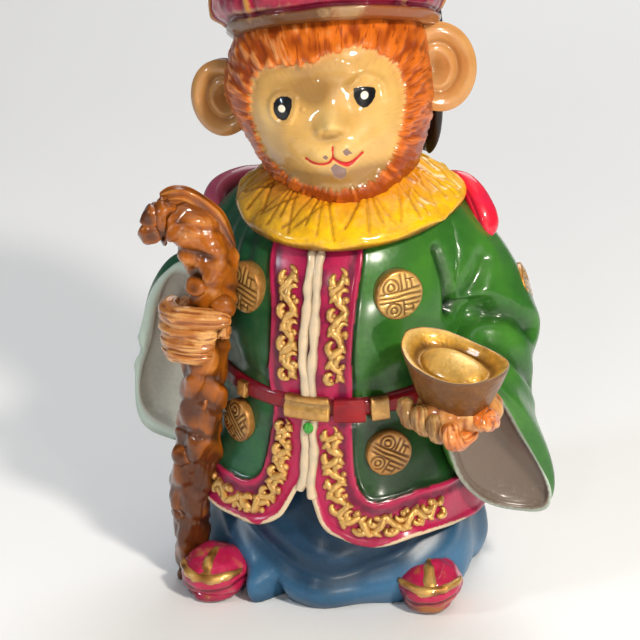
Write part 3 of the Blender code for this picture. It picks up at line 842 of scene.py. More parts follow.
ROBE_CLOTH = Lacquer(
    "robe_lacquer",
    Paint.ROBE_GREEN,
    layers=(
        # Painted shade, bluish, on the robe's left side away from the light.
        wash(Paint.TEAL, "cool_side"),
        wash(Paint.DEEP_GREEN, "shaded"),
        Layer(Paint.ROSE, "border", 0.0, 0.12, 0.2),
        # Plum field of the border, broken into rose specks as painted glints.
        Layer(Paint.PLUM, "border_field", 0.5, 0.4, 0.3, 0.9),
        Layer(Paint.CREAM, "edging", 0.0, 0.12, 0.3),
    ),
    shade_paint=Paint.DEEP_GREEN,
    mottled=Paint.LEAF_GREEN,
    mottling=0.5,
    mottle_per_mm=0.12,
    coat=0.6,
    coat_roughness=0.17,
    tooth=0.12,
    tooth_per_mm=0.9,
)
SLEEVE_CLOTH = Lacquer(
    "sleeve_lacquer",
    Paint.ROBE_GREEN,
    layers=(
        # Painted shade, bluish, over the left sleeve.
        wash(Paint.TEAL, "cool_side"),
        # Pale lip paint, and a painted highlight on the lip near the ground.
        Layer(Paint.LINING_LIP, "lip", 0.0, 0.25, 0.2),
        Layer(Paint.LINING_LILAC, "lining", 0.0, 0.2, 0.15),
        Layer(Paint.LINING_PALE, "lining_pale", 0.5, 0.4, 0.2),
        wash(Paint.LINING_SHADE, "lining_deep", 0.2, 0.7),
    ),
    shade_paint=Paint.DEEP_GREEN,
    mottled=Paint.LEAF_GREEN,
    mottling=0.6,
    mottle_per_mm=0.1,
    coat=0.7,
    coat_roughness=0.13,
    tooth=0.12,
    tooth_per_mm=0.9,
)
SCROLL_GOLD = Lacquer(
    "scroll_gold",
    Paint.GOLD,
    shade_paint=Paint.DEEP_GOLD,
    highlight_paint=Paint.PALE_GOLD,
    highlight_share=0.5,
    mottled=Paint.BRONZE,
    mottling=0.8,
    mottle_per_mm=0.3,
    metallic=0.5,
    tooth=0.16,
    tooth_per_mm=1.4,
)
ROUNDEL_GOLD = Lacquer(
    "roundel_gold",
    Paint.GOLD,
    # Painted light: the upper roundels are painted paler, the lower ones darker.
    layers=(wash(Paint.PALE_GOLD, "worn", 0.5, 0.75),),
    shade_paint=Paint.DEEP_GOLD,
    shade_share=0.85,
    highlight_paint=Paint.PALE_GOLD,
    highlight_share=0.5,
    mottled=Paint.BRONZE,
    mottling=0.8,
    mottle_per_mm=0.12,
    metallic=0.45,
    roughness=0.36,
    tooth=0.09,
)
INGOT_GOLD = Lacquer(
    "ingot_gold",
    Paint.BRIGHT_GOLD,
    layers=(
        Layer(Paint.SILVER, "rim", 0.0, 0.25, 0.5),
        # Painted highlight on the dome and at one end of the bowl.
        wash(Paint.PALE_GOLD, "dome", 0.5, 0.75),
        wash(Paint.BRONZE, "hull", 0.3, 0.85),
    ),
    shade_paint=Paint.DEEP_GOLD,
    shade_share=0.7,
    mottled=Paint.DEEP_GOLD,
    mottling=0.6,
    mottle_per_mm=0.35,
    metallic=0.4,
    roughness=0.45,
    coat=0.55,
    coat_roughness=0.1,
    tooth=0.25,
    tooth_per_mm=1.6,
)
PIPING_CREAM = Lacquer(
    "piping_lacquer",
    Paint.CREAM,
    shade_paint=Paint.DEEP_GOLD,
    shade_share=0.7,
    mottled=Paint.SILVER,
    mottle_per_mm=0.4,
    tooth=0.08,
)
BELT_RED = Lacquer(
    "belt_lacquer",
    Paint.SCARLET,
    # Painted shade on the belt's far side, away from the light.
    layers=(wash(Paint.DEEP_CRIMSON, "far_side", 0.2, 0.5),),
    shade_paint=Paint.DEEP_CRIMSON,
    mottled=Paint.DEEP_CRIMSON,
    mottling=0.5,
    mottle_per_mm=0.3,
    coat=0.4,
)
RIBBON_RED = Lacquer(
    "ribbon_lacquer",
    Paint.RIBBON_CRIMSON,
    # Painted shade: the left ribbon is painted a darker purple.
    layers=(wash(Paint.DUSKY_PURPLE, "dusky", 0.1, 0.75),),
    shade_paint=Paint.PLUM,
    mottled=Paint.MAGENTA,
    mottling=0.6,
    mottle_per_mm=0.15,
)
DRAPE_BLACK = Lacquer("drape_lacquer", Paint.BLACK, mottled=Paint.DEEP_BARK, roughness=0.5, coat=0.4)
BEAD_PAINT = Lacquer("bead_lacquer", Paint.BEAD_GREEN, mottled=Paint.DEEP_GREEN, mottling=0.5)
SKIRT_PAINT = Lacquer(
    "skirt_lacquer",
    Paint.SKIRT_BLUE,
    shade_paint=Paint.DEEP_BLUE,
    shade_share=0.9,
    mottled=Paint.DEEP_BLUE,
    mottling=0.25,
    mottle_per_mm=0.08,
    roughness=0.45,
    coat=0.5,
    coat_roughness=0.28,
    tooth=0.03,
)
SHOE_PAINT = Lacquer(
    "shoe_lacquer",
    Paint.MAGENTA,
    layers=(Layer(Paint.GOLD, "gilt", 0.0, 0.3, 0.6, 0.92),),
    shade_paint=Paint.DEEP_CRIMSON,
    mottled=Paint.CRIMSON,
    mottling=0.7,
    mottle_per_mm=0.35,
    tooth=0.1,
)
BARK = Lacquer(
    "bark_lacquer",
    Paint.AMBER,
    shade_paint=Paint.DEEP_BARK,
    shade_share=0.85,
    highlight_paint=Paint.BARK_LIGHT,
    highlight_share=0.5,
    mottled=Paint.DEEP_BARK,
    mottling=0.5,
    mottle_per_mm=0.2,
    coat_roughness=0.05,
    tooth=0.12,
    tooth_per_mm=0.9,
)
PAW_FUR = Lacquer(
    "paw_lacquer",
    Paint.PAW,
    layers=(
        # Painted shade: three fingers of the open hand are painted a darker greenish gold.
        wash(Paint.OLIVE_GOLD, "olive", 0.2, 0.85),
        wash(Paint.ORANGE, "orange", 0.3, 0.8),
    ),
    shade_paint=Paint.DEEP_PAW,
    highlight_paint=Paint.PAW_LIGHT,
    highlight_share=0.6,
    mottled=Paint.AMBER,
    mottling=0.35,
    tooth=0.08,
)


# The robed body


@dataclass
class Torso:
    """The robe's sections, and places on its surface by angle from the front, height and lift."""

    turned: float = -6.0
    levels: tuple = (17, 22, 28, 34, 40, 46.3, 52, 60, 68, 76, 82, 87)
    half_widths: tuple = (29.3, 28.6, 27.4, 26.2, 25.0, 24.2, 24.8, 25.4, 24.8, 22.4, 17.8, 11.0)
    half_depths: tuple = (29.5, 28.8, 27.6, 26.6, 26.0, 25.6, 26.4, 26.4, 25.0, 21.5, 17.0, 11.0)
    middles: tuple = (-2.0, -2.0, -2.2, -2.5, -2.7, -3.0, -3.0, -2.4, -2.0, -1.6, -1.0, 0.0)
    belt_middle: float = 46.4
    hem_angles: tuple = (-3.15, -1.6, -1.0, -0.5, -0.3, -0.14, 0.035, 0.15, 0.3, 0.48, 0.75, 1.2, 1.6, 3.15)
    hem_levels: tuple = (18.0, 19.6, 20.5, 19.0, 18.5, 21.0, 28.0, 20.8, 18.0, 16.3, 18.0, 16.4, 15.6, 18.0)

    def point(self, angle: np.ndarray, z: np.ndarray, lift: np.ndarray = 0.0) -> np.ndarray:
        """Places on the robe: a superellipse of the section's half width and depth, squarer towards the hem.

        Args:
            angle: from the front, towards +X.
            z: height in mm.
            lift: distance out of the cloth in mm.

        Returns:
            Points in the figure's frame.
        """
        angle, z, lift = np.broadcast_arrays(*(np.asarray(value, float) for value in (angle, z, lift)))
        width, depth = eased(self.levels, self.half_widths, z), eased(self.levels, self.half_depths, z)
        skirt = step(36 - z, 8)
        folds = 0.7 * skirt * np.cos(8 * angle + 0.6) * step(np.abs(angle) - 1.1, 0.25)
        power = 2 + 0.6 * skirt
        full = (np.abs(np.sin(angle)) ** power + np.abs(np.cos(angle)) ** power) ** (-1 / power)
        x = (width * full + lift + folds) * np.sin(angle)
        y = eased(self.levels, self.middles, z) - (depth * full + lift + folds) * np.cos(angle)
        return np.stack([x, y, z], -1) @ turn("Z", self.turned).T

    def flank(self, side: int) -> np.ndarray:
        """Places close together on one flank, for a sleeve to melt into."""
        return self.point(side * np.linspace(0.35, 2.6, 120)[None], np.linspace(46, 84, 60)[:, None])

    def hem(self, angle: np.ndarray) -> np.ndarray:
        """Height of the hem by angle."""
        return eased(self.hem_angles, self.hem_levels, angle)

    def belt(self, angle: np.ndarray) -> np.ndarray:
        """Height of the belt's middle by angle: it sags a little at the front."""
        return self.belt_middle - 1.6 * bump(np.asarray(angle) - 0.35, 0.9)


ARMPIT_CREASES = (
    ((20.5, -13.1, 73.0), (22.4, -12.9, 67.5), (22.9, -12.9, 61.0)),
    ((28.2, -5.0, 69.6), (26.9, -7.7, 65.8), (23.3, -12.0, 61.2)),
)


@dataclass
class Vine:
    """Cast scrollwork along a line of the cloth.

    A stem waves from side to side; at each turn a leaf curls back into a ring, and beads sit between. Each
    strand is a tube of changing radius that rests on the cloth. The line is pairs of angle and height; the
    girth turns an angle into mm, and the band's half width and the length of a full wave are in mm.
    """

    torso: Torso
    girth: float
    lift: float
    line: np.ndarray
    half: float
    period: float
    seed: int

    def __post_init__(self) -> None:
        """Works out the line in the unrolled cloth, its length so far and the directions across it."""
        self.flat = self.line * (self.girth, 1)
        self.run = np.concatenate([[0], np.cumsum(np.linalg.norm(np.diff(self.flat, axis=0), axis=1))])
        tangent = unit(np.gradient(self.flat, self.run, axis=0))
        self.across = np.stack([-tangent[:, 1], tangent[:, 0]], 1)
        self.length = self.run[-1]

    def spots(self, along: np.ndarray, aside: np.ndarray) -> np.ndarray:
        """Places in the unrolled cloth, by the way along the line and aside from it.

        Args:
            along: the way along, in mm.
            aside: the way aside, in mm.

        Returns:
            Pairs of mm round and up.
        """
        at = np.clip(along, 0, self.length)
        middle, out = (
            np.stack([np.interp(at, self.run, column) for column in rows.T], -1)
            for rows in (self.flat, self.across)
        )
        return middle + out * aside[:, None]

    def strand(self, along: np.ndarray, aside: np.ndarray, thick: np.ndarray, sides: int = 9) -> Skin:
        """One strand: a tube, rounder above than below, with a painted highlight on top and painted shade
        below.

        Args:
            along: its way along the line.
            aside: its way aside from the line.
            thick: its half width.
            sides: points round it.

        Returns:
            The strand's skin.
        """
        places = self.spots(along, aside)
        angle, level = places[:, 0] / self.girth, places[:, 1]
        base = self.torso.point(angle, level, self.lift + 0.15)
        out = self.torso.point(angle, level, self.lift + 1.15) - base
        ring = around(sides)[None, :, None]
        radius = (thick * end_rounding(np.linspace(0, 1, len(along)), 0.16))[:, None, None]
        uneven = 1 + 0.5 * (grain(base, 1.3, self.seed)[:, None, None] - 0.5)
        bulge = np.cos(ring) * sideways(base, out)[:, None] + (0.3 + 1.05 * np.sin(ring)) * out[:, None]
        up = np.sin(ring[..., 0])
        values = {"crest": clipped(up), "hollow": clipped(-up)}
        return Skin(base[:, None] + radius * uneven * bulge, values)

    def bead(self, along: float, aside: float, radius: float) -> Skin:
        """A small ball half sunk in the cloth.

        Args:
            along: its way along the line.
            aside: its way aside from it.
            radius: in mm.

        Returns:
            The bead's skin.
        """
        where = self.spots(np.array([along]), np.array([aside]))[0]
        spot = self.torso.point(where[0] / self.girth, where[1], self.lift + 0.35)
        return Skin(ball(spot, (radius,) * 3, rings=7, sides=10), {"crest": 0.75})

    def grown(self) -> list[Skin]:
        """The stem, then a curl, a leaf and two beads at each turn, with seeded differences.

        Returns:
            The strands.
        """
        dice = np.random.default_rng(self.seed)
        half, period = self.half, self.period
        turns = max(2, int(round(self.length / (period / 2))))
        t = np.linspace(0, 1, 18 * turns)
        swing = 0.62 + 0.2 * np.sin(5.3 * t * turns + self.seed)
        wave = swing * half * np.sin(math.pi * turns * t)
        thick = 0.62 + 0.26 * np.abs(np.cos(math.pi * turns * t))
        skins = [self.strand(t * self.length, wave, thick, sides=10)]
        sweep, leaf = np.linspace(0, 1, 18), np.linspace(0, 1, 13)
        for k in range(turns):
            mid, side = (k + 0.5) * self.length / turns, 1 if k % 2 == 0 else -1
            curl = (0.2 + 0.05 * dice.random()) * period
            theta = side * (0.2 + 0.6 * dice.random() + sweep * (3.6 + 1.6 * dice.random()))
            spiral = curl * (1 - 0.5 * sweep)
            along = mid + spiral * np.sin(theta) + 0.08 * period
            aside = -side * (0.35 + 0.2 * dice.random()) * half + spiral * np.cos(theta) * 0.8
            skins.append(self.strand(along, aside, 0.4 + 0.4 * np.sin(math.pi * sweep)))
            lean = 0.1 + 0.25 * dice.random()
            thick = 0.28 + 0.7 * np.sin(math.pi * leaf) * (1 - 0.5 * leaf)
            along = mid + 0.36 * period * (leaf - lean)
            skins.append(self.strand(along, side * half * (0.35 + 0.75 * leaf**1.5), thick))
            for _ in range(2):
                along = mid + period * (0.22 + 0.2 * (dice.random() - 0.5))
                aside = -side * half * (0.45 + 0.5 * dice.random())
                skins.append(self.bead(along, aside, 0.5 + 0.3 * dice.random()))
        return skins


@dataclass
class Robe:
    """The green robe with its crimson border, gold scrolls and cream piping.

    Edges, bands and strips are lines of angle and height; a band also has its number of points, half width
    and period. The places beside it are the sleeves', which the cloth melts into.
    """

    torso: Torso
    beside: np.ndarray
    girth: float = 26.0
    wall: float = 2.0
    border_lift: float = 0.45
    left_edge: tuple = (
        (-0.36, 82), (-0.358, 74.2), (-0.282, 65.1), (-0.273, 57.3), (-0.291, 48.8), (-0.25, 42.9),
        (-0.273, 36.9), (-0.288, 33.1), (-0.317, 29.4), (-0.38, 27.5), (-0.458, 27.0), (-0.6, 27.7),
        (-0.825, 28.5), (-1.2, 28.6), (-2.2, 27.5), (-3.2, 27.0),
    )
    right_edge: tuple = (
        (0.45, 82), (0.443, 75), (0.404, 66.5), (0.387, 58.8), (0.396, 48.3), (0.388, 41.6), (0.382, 32.9),
        (0.42, 28.0), (0.491, 25.9), (0.592, 25.9), (0.741, 26.5), (0.886, 27.1), (1.3, 26.0), (2.2, 26.0),
        (3.2, 27.0),
    )
    bands: tuple = (
        (((-0.15, 72.5), (-0.12, 66), (-0.108, 60), (-0.105, 54), (-0.11, 50.4)), 60, 1.75, 6.6),
        (((0.262, 72.6), (0.268, 66), (0.266, 60), (0.262, 54), (0.262, 50.2)), 60, 1.75, 6.6),
        (
            ((-0.145, 41.5), (-0.15, 36), (-0.165, 31.5), (-0.2, 27.5), (-0.28, 23.6), (-0.42, 22.4),
             (-0.6, 23.4), (-0.78, 24.4), (-0.95, 25.2)),
            120, 1.7, 5.0,
        ),
        (
            ((0.235, 41.0), (0.235, 36), (0.24, 31), (0.27, 26.2), (0.33, 22.6), (0.45, 20.9), (0.6, 21.1),
             (0.75, 21.9), (0.88, 22.4), (1.0, 22.2)),
            120, 2.0, 5.0,
        ),
    )
    seed: int = 31
    strips: tuple = (
        ((0.03, 75.6), (0.026, 66), (0.018, 57), (0.02, 48.5), (0.024, 40), (0.022, 33), (0.012, 29.2),
         (-0.012, 27.0)),
        ((0.088, 75.6), (0.09, 66), (0.088, 57), (0.082, 48.5), (0.09, 40), (0.084, 33), (0.074, 29.0),
         (0.094, 25.6)),
    )
    front: tuple = (-1.35, 1.65)
    front_columns: int = 210
    back_columns: int = 46
    rows: int = 160
    top: float = 87.0

    def border(self, angle: np.ndarray, z: np.ndarray) -> np.ndarray:
        """Distance into the crimson border: the lesser one outside two green panels, below 0 on them.

        Args:
            angle: round the robe from the front.
            z: height in mm.

        Returns:
            The distance in mm.
        """
        u = angle * self.girth
        far, low, high = 3.6 * self.girth, 27, 96
        out = np.full(u.shape, np.inf)
        for edge, side in ((self.left_edge, -1), (self.right_edge, 1)):
            line = smooth_path(edge, 90) * (self.girth, 1)
            panel = [*line.tolist(), [side * far, low], [side * far, high], [line[0][0], high]]
            out = np.minimum(out, -inside_distance(u, z, panel))
        return out

    def hem_distance(self, angle: np.ndarray, z: np.ndarray) -> np.ndarray:
        """Distance to the hem's curve in the unrolled cloth, in mm.

        Args:
            angle: round the robe from the front.
            z: height in mm.

        Returns:
            The distance.
        """
        sample = np.linspace(-3.15, 3.15, 260)
        curve = np.stack([sample * self.girth, self.torso.hem(sample)], 1)
        return path_distance(angle * self.girth, z, curve)

    def columns(self) -> np.ndarray:
        """Angles of the columns: close together at the front, wider at the back.

        Returns:
            One row of angles.
        """
        start, end = self.front
        front = np.linspace(start, end, self.front_columns)
        back = np.linspace(end, 2 * math.pi + start, self.back_columns)[1:-1]
        back = np.where(back > math.pi, back - 2 * math.pi, back)
        return np.concatenate([front, back])[None]

    def cloth(self) -> Skin:
        """The cloth: the border stands out of the green with a rolled edge, and the hem turns under.

        Returns:
            The robe's skin.
        """
        torso, angle = self.torso, self.columns()
        share = np.linspace(0, 1, self.rows)[:, None]
        hem = torso.hem(angle)
        level = self.top + (hem - self.top) * share
        angles = angle * np.ones_like(level)
        border = self.border(angles, level)
        to_hem = self.hem_distance(angles, level)
        flat = torso.point(angles, level)
        soft = grain(flat, 9.0, 3) - 0.5
        roll = 0.4 * bump(border - 0.35, 0.55)
        under_belt = bump(level - torso.belt(angle) + 4.5, 2.5) + bump(level - torso.belt(angle) - 5, 2.5)
        blouse = 0.7 * under_belt * np.cos(angle * 13 + 2 * np.sin(angle * 5)) * (border < 0)
        gather = 0.35 * np.cos(30 * angle + level * 0.12) * bump(angle + 0.72, 0.3) * step(level - 66, 4)
        lift = self.border_lift * step(border - 0.1, 0.25) + roll + 0.5 * soft + blouse + gather
        lift += 0.55 * bump(to_hem - 0.6, 0.6) + 0.8 * (grain(flat, 6.5, 14) - 0.5) * step(30 - level, 4)
        lift += melted(flat, self.beside, step(level - 50, 3))
        armpits = np.zeros_like(level)
        for line in ARMPIT_CREASES:
            armpits += bump(line_distance(flat, line), 1.5)
        lift -= 1.5 * armpits
        outside = torso.point(angles, level, lift)
        lip = torso.point(angle, hem + 0.4 * self.wall, -self.wall)
        inside = torso.point(angle, hem + 5, -self.wall - 1.2)
        in_front = step(angles + 1.15, 0.1) * step(1.3 - angles, 0.1)
        bare = bump(angles - 0.42, 0.13) + bump(angles + 0.3, 0.04)
        shadow = bump(np.maximum(-border, 0), 0.8) * (border < 0.1) * 0.8 + np.clip(-soft * 1.2, 0, 0.5)
        shadow += 0.5 * under_belt * (border < 0) + 0.8 * armpits
        dark = bump(angles - 0.057, 0.12) * step(level - 46, 2) * step(border - 1.5, 0.5)
        dark = bump(border - 2.0, 1.0) + dark
        # Grain breaks the plum field into rose specks, painted glints.
        dark = dark * step(border - 0.9, 0.2) * (0.35 + 1.2 * grain(flat, 1.5, 21))
        # Painted shade: bluish on the left side, deep green on the lower right, and in the hollows.
        values = {
            "border": with_rows(border, 1),
            "border_field": with_rows(dark, 0),
            "edging": with_rows((0.85 - to_hem) * in_front - (1 - in_front) - bare, -1),
            "cool_side": with_rows(step(-np.sin(angles) - 0.25, 0.2), 0),
            "shaded": with_rows(step(44 - level, 2) * step(np.sin(angles) - 0.3, 0.1), 0),
            "hollow": with_rows(shadow, 1),
        }
        return Skin(np.concatenate([outside, lip, inside]), values)

    def vines(self) -> list[Vine]:
        """The four gold bands, each with its own seed."""
        common = (self.torso, self.girth, self.border_lift)
        return [
            Vine(*common, smooth_path(line, count), half, period, self.seed + index)
            for index, (line, count, half, period) in enumerate(self.bands)
        ]

    def piping(self) -> list[Skin]:
        """Two cream strips down the front opening, joined by a loop at the top and parted at the slit.

        Returns:
            The strips' skins and the loop's.
        """
        torso, skins, rows = self.torso, [], 150
        ring = around(20)[None, :, None]
        for index, strip in enumerate(self.strips):
            angle, level = smooth_path(strip, rows).T
            wander = 0.022 * (grain(np.stack([level, 0 * level, 0 * level + index * 5], -1), 3.0) - 0.5)
            base = torso.point(angle + wander, level, self.border_lift + 0.1)
            out = torso.point(angle + wander, level, self.border_lift + 1.1) - base
            swell = 1 + 0.5 * (grain(base, 1.8, index) - 0.5)
            size = (end_rounding(np.linspace(0, 1, rows), 0.02) * swell)[:, None, None]
            wide = sideways(base, out)[:, None]
            rings = base[:, None] + size * (0.95 * np.cos(ring) * wide + 0.85 * np.sin(ring) * out[:, None])
            skins.append(Skin(rings, {"hollow": np.abs(np.cos(ring[..., 0])) ** 3 * 0.7}))
        turnover = np.linspace(-0.3, math.pi + 0.3, 24)
        angle, level = 0.057 + 0.041 * np.cos(turnover), 75.0 + 0.9 * np.sin(turnover)
        arch = torso.point(angle, level, self.border_lift + 0.25)
        skins.append(Skin(tube([(*spot, 0.6) for spot in arch[::4]], side=(0, -1, 0), rings=24, sides=16)))
        return skins

    def build(self) -> None:
        """Makes the cloth, the scrolls and the piping."""
        cast("robe_cloth", [self.cloth()], ROBE_CLOTH)
        cast("gold_scrolls", [skin for vine in self.vines() for skin in vine.grown()], SCROLL_GOLD)
        cast("front_piping", self.piping(), PIPING_CREAM)


@dataclass
class Belt:
    """The red belt, its gold plates, the raised red block and the bead that hangs under the buckle."""

    torso: Torso
    height: float = 4.6
    plates: tuple = ((0.525, 0.67, 0.53), (-0.585, -0.5, 0.36))
    block: tuple = (0.245, 0.49)
    buckle: tuple = (-0.135, 0.225)
    rows: int = 20
    sides: int = 320

    def band(self) -> Skin:
        """The band: a flat strap with rounded edges and two shallow scored lines.

        Returns:
            The band's skin.
        """
        across = np.linspace(-1, 1, self.rows)[:, None]
        angle = around(self.sides)[None] - math.pi
        rounded = np.sqrt(clipped(1 - np.abs(across) ** 5))
        score = 0.18 * (bump(across - 0.62, 0.09) + bump(across + 0.62, 0.09))
        uneven = 0.25 * (grain(self.torso.point(angle + across * 0, across * 0 + 46), 5.0, 8) - 0.5)
        lift = -3.0 + 4.2 * rounded - score + uneven
        level = self.torso.belt(angle) + across * self.height / 2
        point = self.torso.point
        buried = -6
        rings = [point(angle, level[:1], buried), point(angle, level, lift), point(angle, level[-1:], buried)]
        hollow = np.concatenate([[[1.0]], 3 * score + (1 - rounded), [[1.0]]])
        # Painted shade on the belt's far side.
        return Skin(np.concatenate(rings), {"hollow": hollow, "far_side": step(0.1 - angle, 0.3)})

    def plate(self, start: float, end: float, tall: float, proud: float, tiers: bool = False) -> Skin:
        """A plate on the belt: a rounded bar between two angles, in two tiers for the buckle.

        Args:
            start: angle of one end.
            end: angle of the other end.
            tall: half its height as a share of the belt's.
            proud: how far it stands out, in mm.
            tiers: whether a scored line parts a thin upper bar from the lower one.

        Returns:
            The plate's skin.
        """
        columns, squareness = 44, 0.45
        angle = np.linspace(start, end, columns)
        turn_over = around(52)[:, None]
        c, s = np.cos(turn_over), np.sin(turn_over)
        side = bent(s, squareness)
        inner = end_rounding(np.linspace(0, 1, columns), 0.05) ** 0.6
        lift = 1.3 + proud * bent(c, squareness) * inner
        lift = lift + 0.18 * (grain(self.torso.point(angle, 46 + 2 * side), 1.6, 5) - 0.5)
        if tiers:
            lift = lift - 0.75 * bump(side - 0.34, 0.12) * (c > 0) - 0.35 * step(side - 0.4, 0.05) * (c > 0)
        level = self.torso.belt(angle) + (tall * self.height * side) * inner - 0.2
        rings = self.torso.point(angle, level, lift).transpose(1, 0, 2)
        hollow = bump(side - 0.34, 0.12) * (c > 0) * tiers + clipped(-c) + np.abs(side) ** 6 * 0.6
        return Skin(rings, {"crest": clipped(c).T * 0.7, "hollow": clipped(hollow).T})

    def bead(self) -> Skin:
        """A small fluted bead under the buckle.

        Returns:
            The bead's skin.
        """
        spot = self.torso.point(np.array(0.056), np.array(40.6), 1.7)
        sides = 40
        rings = ball(spot, (1.0, 0.95, 1.1), rings=26, sides=sides)
        flutes = 0.08 * np.cos(6 * around(sides))[None]
        return Skin(raised(rings, flutes), {"hollow": clipped(-flutes * 8)})

    def build(self) -> None:
        """Makes the belt's pieces."""
        cast("belt_strap", [self.band()], BELT_RED)
        cast("belt_block", [self.plate(*self.block, 0.53, 1.3)], BELT_RED)
        plates = [self.plate(*sizes, 1.0) for sizes in self.plates]
        cast("belt_plates", [self.plate(*self.buckle, 0.53, 1.35, True), *plates], SCROLL_GOLD)
        cast("belt_bead", [self.bead()], BEAD_PAINT)


@dataclass
class Roundels:
    """The domed gold roundels of the robe and sleeves, with plain crossed strokes on them."""

    torso: Torso
    radius: float = 5.2
    # Each place is an angle, a height, a size and a share of painted light, paler on the upper roundels.
    places: tuple = (
        (0.73, 67.0, 0.96, 0.85), (-0.565, 66.2, 1.0, 1.0), (0.64, 35.2, 0.9, 0.0), (-0.6, 38.2, 0.86, 0.1),
        (math.pi, 64.0, 1.0, 0.4),
    )
    arms: tuple = (((35.6, 5.4, 60.4), (0.94, 0.12, 0.3)), ((-33.2, 4.5, 62.5), (-0.9, 0.2, 0.42)))
    rings: int = 49
    sides: int = 104

    def strokes(self, u: np.ndarray, v: np.ndarray) -> np.ndarray:
        """Depth of the cuts: a cross band of three lines, and in each quarter two rings or a few bent lines.

        Args:
            u: place along the band, as a share of the radius.
            v: place across it.

        Returns:
            0 on the plain metal to 1 in a cut.
        """
        upper, lower = v > 0.2, v < -0.2
        return np.maximum.reduce([
            bump(v - 0.2 - 0.03 * u, 0.045),
            bump(v - 0.02 * np.sin(5 * u), 0.045),
            bump(v + 0.2 + 0.03 * u, 0.045),
            bump(u - 0.06, 0.04) * upper,
            bump(u - 0.28, 0.04) * upper,
            bump(u - 0.5, 0.04) * upper * (v < 0.62),
            bump(v - 0.62, 0.04) * (u > 0.28),
            bump(np.hypot(u + 0.38, v - 0.42) - 0.32, 0.04) * upper,
            bump(np.hypot(u + 0.38, v - 0.42) - 0.14, 0.04) * upper,
            bump(np.hypot(u + 0.33, v + 0.55) - 0.3, 0.04) * lower,
            bump(np.hypot(u + 0.33, v + 0.55) - 0.13, 0.04) * lower,
            bump(u - 0.1, 0.04) * lower,
            bump(v + 0.42, 0.04) * (u > 0.1),
            bump(v + 0.64, 0.04) * (u > 0.1) * (u < 0.5),
            bump(u - 0.5, 0.04) * (v < -0.42),
        ])

    def disc(
        self, centre: np.ndarray, outward: Sequence[float], radius: float, spin: float, pale: float = 0.5
    ) -> Skin:
        """One roundel: a dome with a plain rim, a double cross band and bent strokes in the four quarters.

        Args:
            centre: a point on the cloth.
            outward: the direction it faces.
            radius: in mm.
            spin: turns the strokes, in degrees.
            pale: how much painted light the gold takes, 0 to 1.

        Returns:
            The roundel's skin.
        """
        outward = unit(np.asarray(outward, float))
        across = unit(np.cross((0, 0, 1), outward))
        axes = np.stack([across, np.cross(outward, across), outward], 1)
        turned_under = 0.98
        share = np.concatenate([np.linspace(0.01, 1, self.rings), [turned_under]])[:, None]
        angle = around(self.sides)[None]
        c, s = math.cos(math.radians(spin)), math.sin(math.radians(spin))
        x, y = share * np.cos(angle), share * np.sin(angle)
        cuts = self.strokes(c * x - s * y, s * x + c * y) * step(0.9 - share, 0.03)
        dome = 0.9 + 0.85 * np.sqrt(clipped(1 - share**2.4))
        height = with_rows((dome - 0.3 * cuts)[:-1], -2.0, 1)
        rings = np.stack([radius * x, radius * y, height], -1)
        crest = clipped(0.75 - cuts - 0.5 * share**6)
        # Painted light paler on the upper roundels; painted shade in the cuts and on the lower ones.
        worn = pale * (1 - 0.6 * cuts) * step(0.93 - share, 0.05)
        dull = clipped(0.85 * cuts + 0.25 * (1 - pale))
        return Skin(placed(rings, axes, centre), {"hollow": dull, "crest": crest, "worn": worn})

    def build(self) -> None:
        """Makes every roundel."""
        skins = []
        for index, (angle, level, size, pale) in enumerate(self.places):
            spot = self.torso.point(angle, level)
            outward = self.torso.point(angle, level, 1.0) - spot
            skins.append(self.disc(spot, outward, self.radius * size, 18.0 * index - 6, pale))
        for centre, outward in self.arms:
            skins.append(self.disc(np.array(centre), outward, self.radius, 30))
        cast("gold_roundels", skins, ROUNDEL_GOLD)


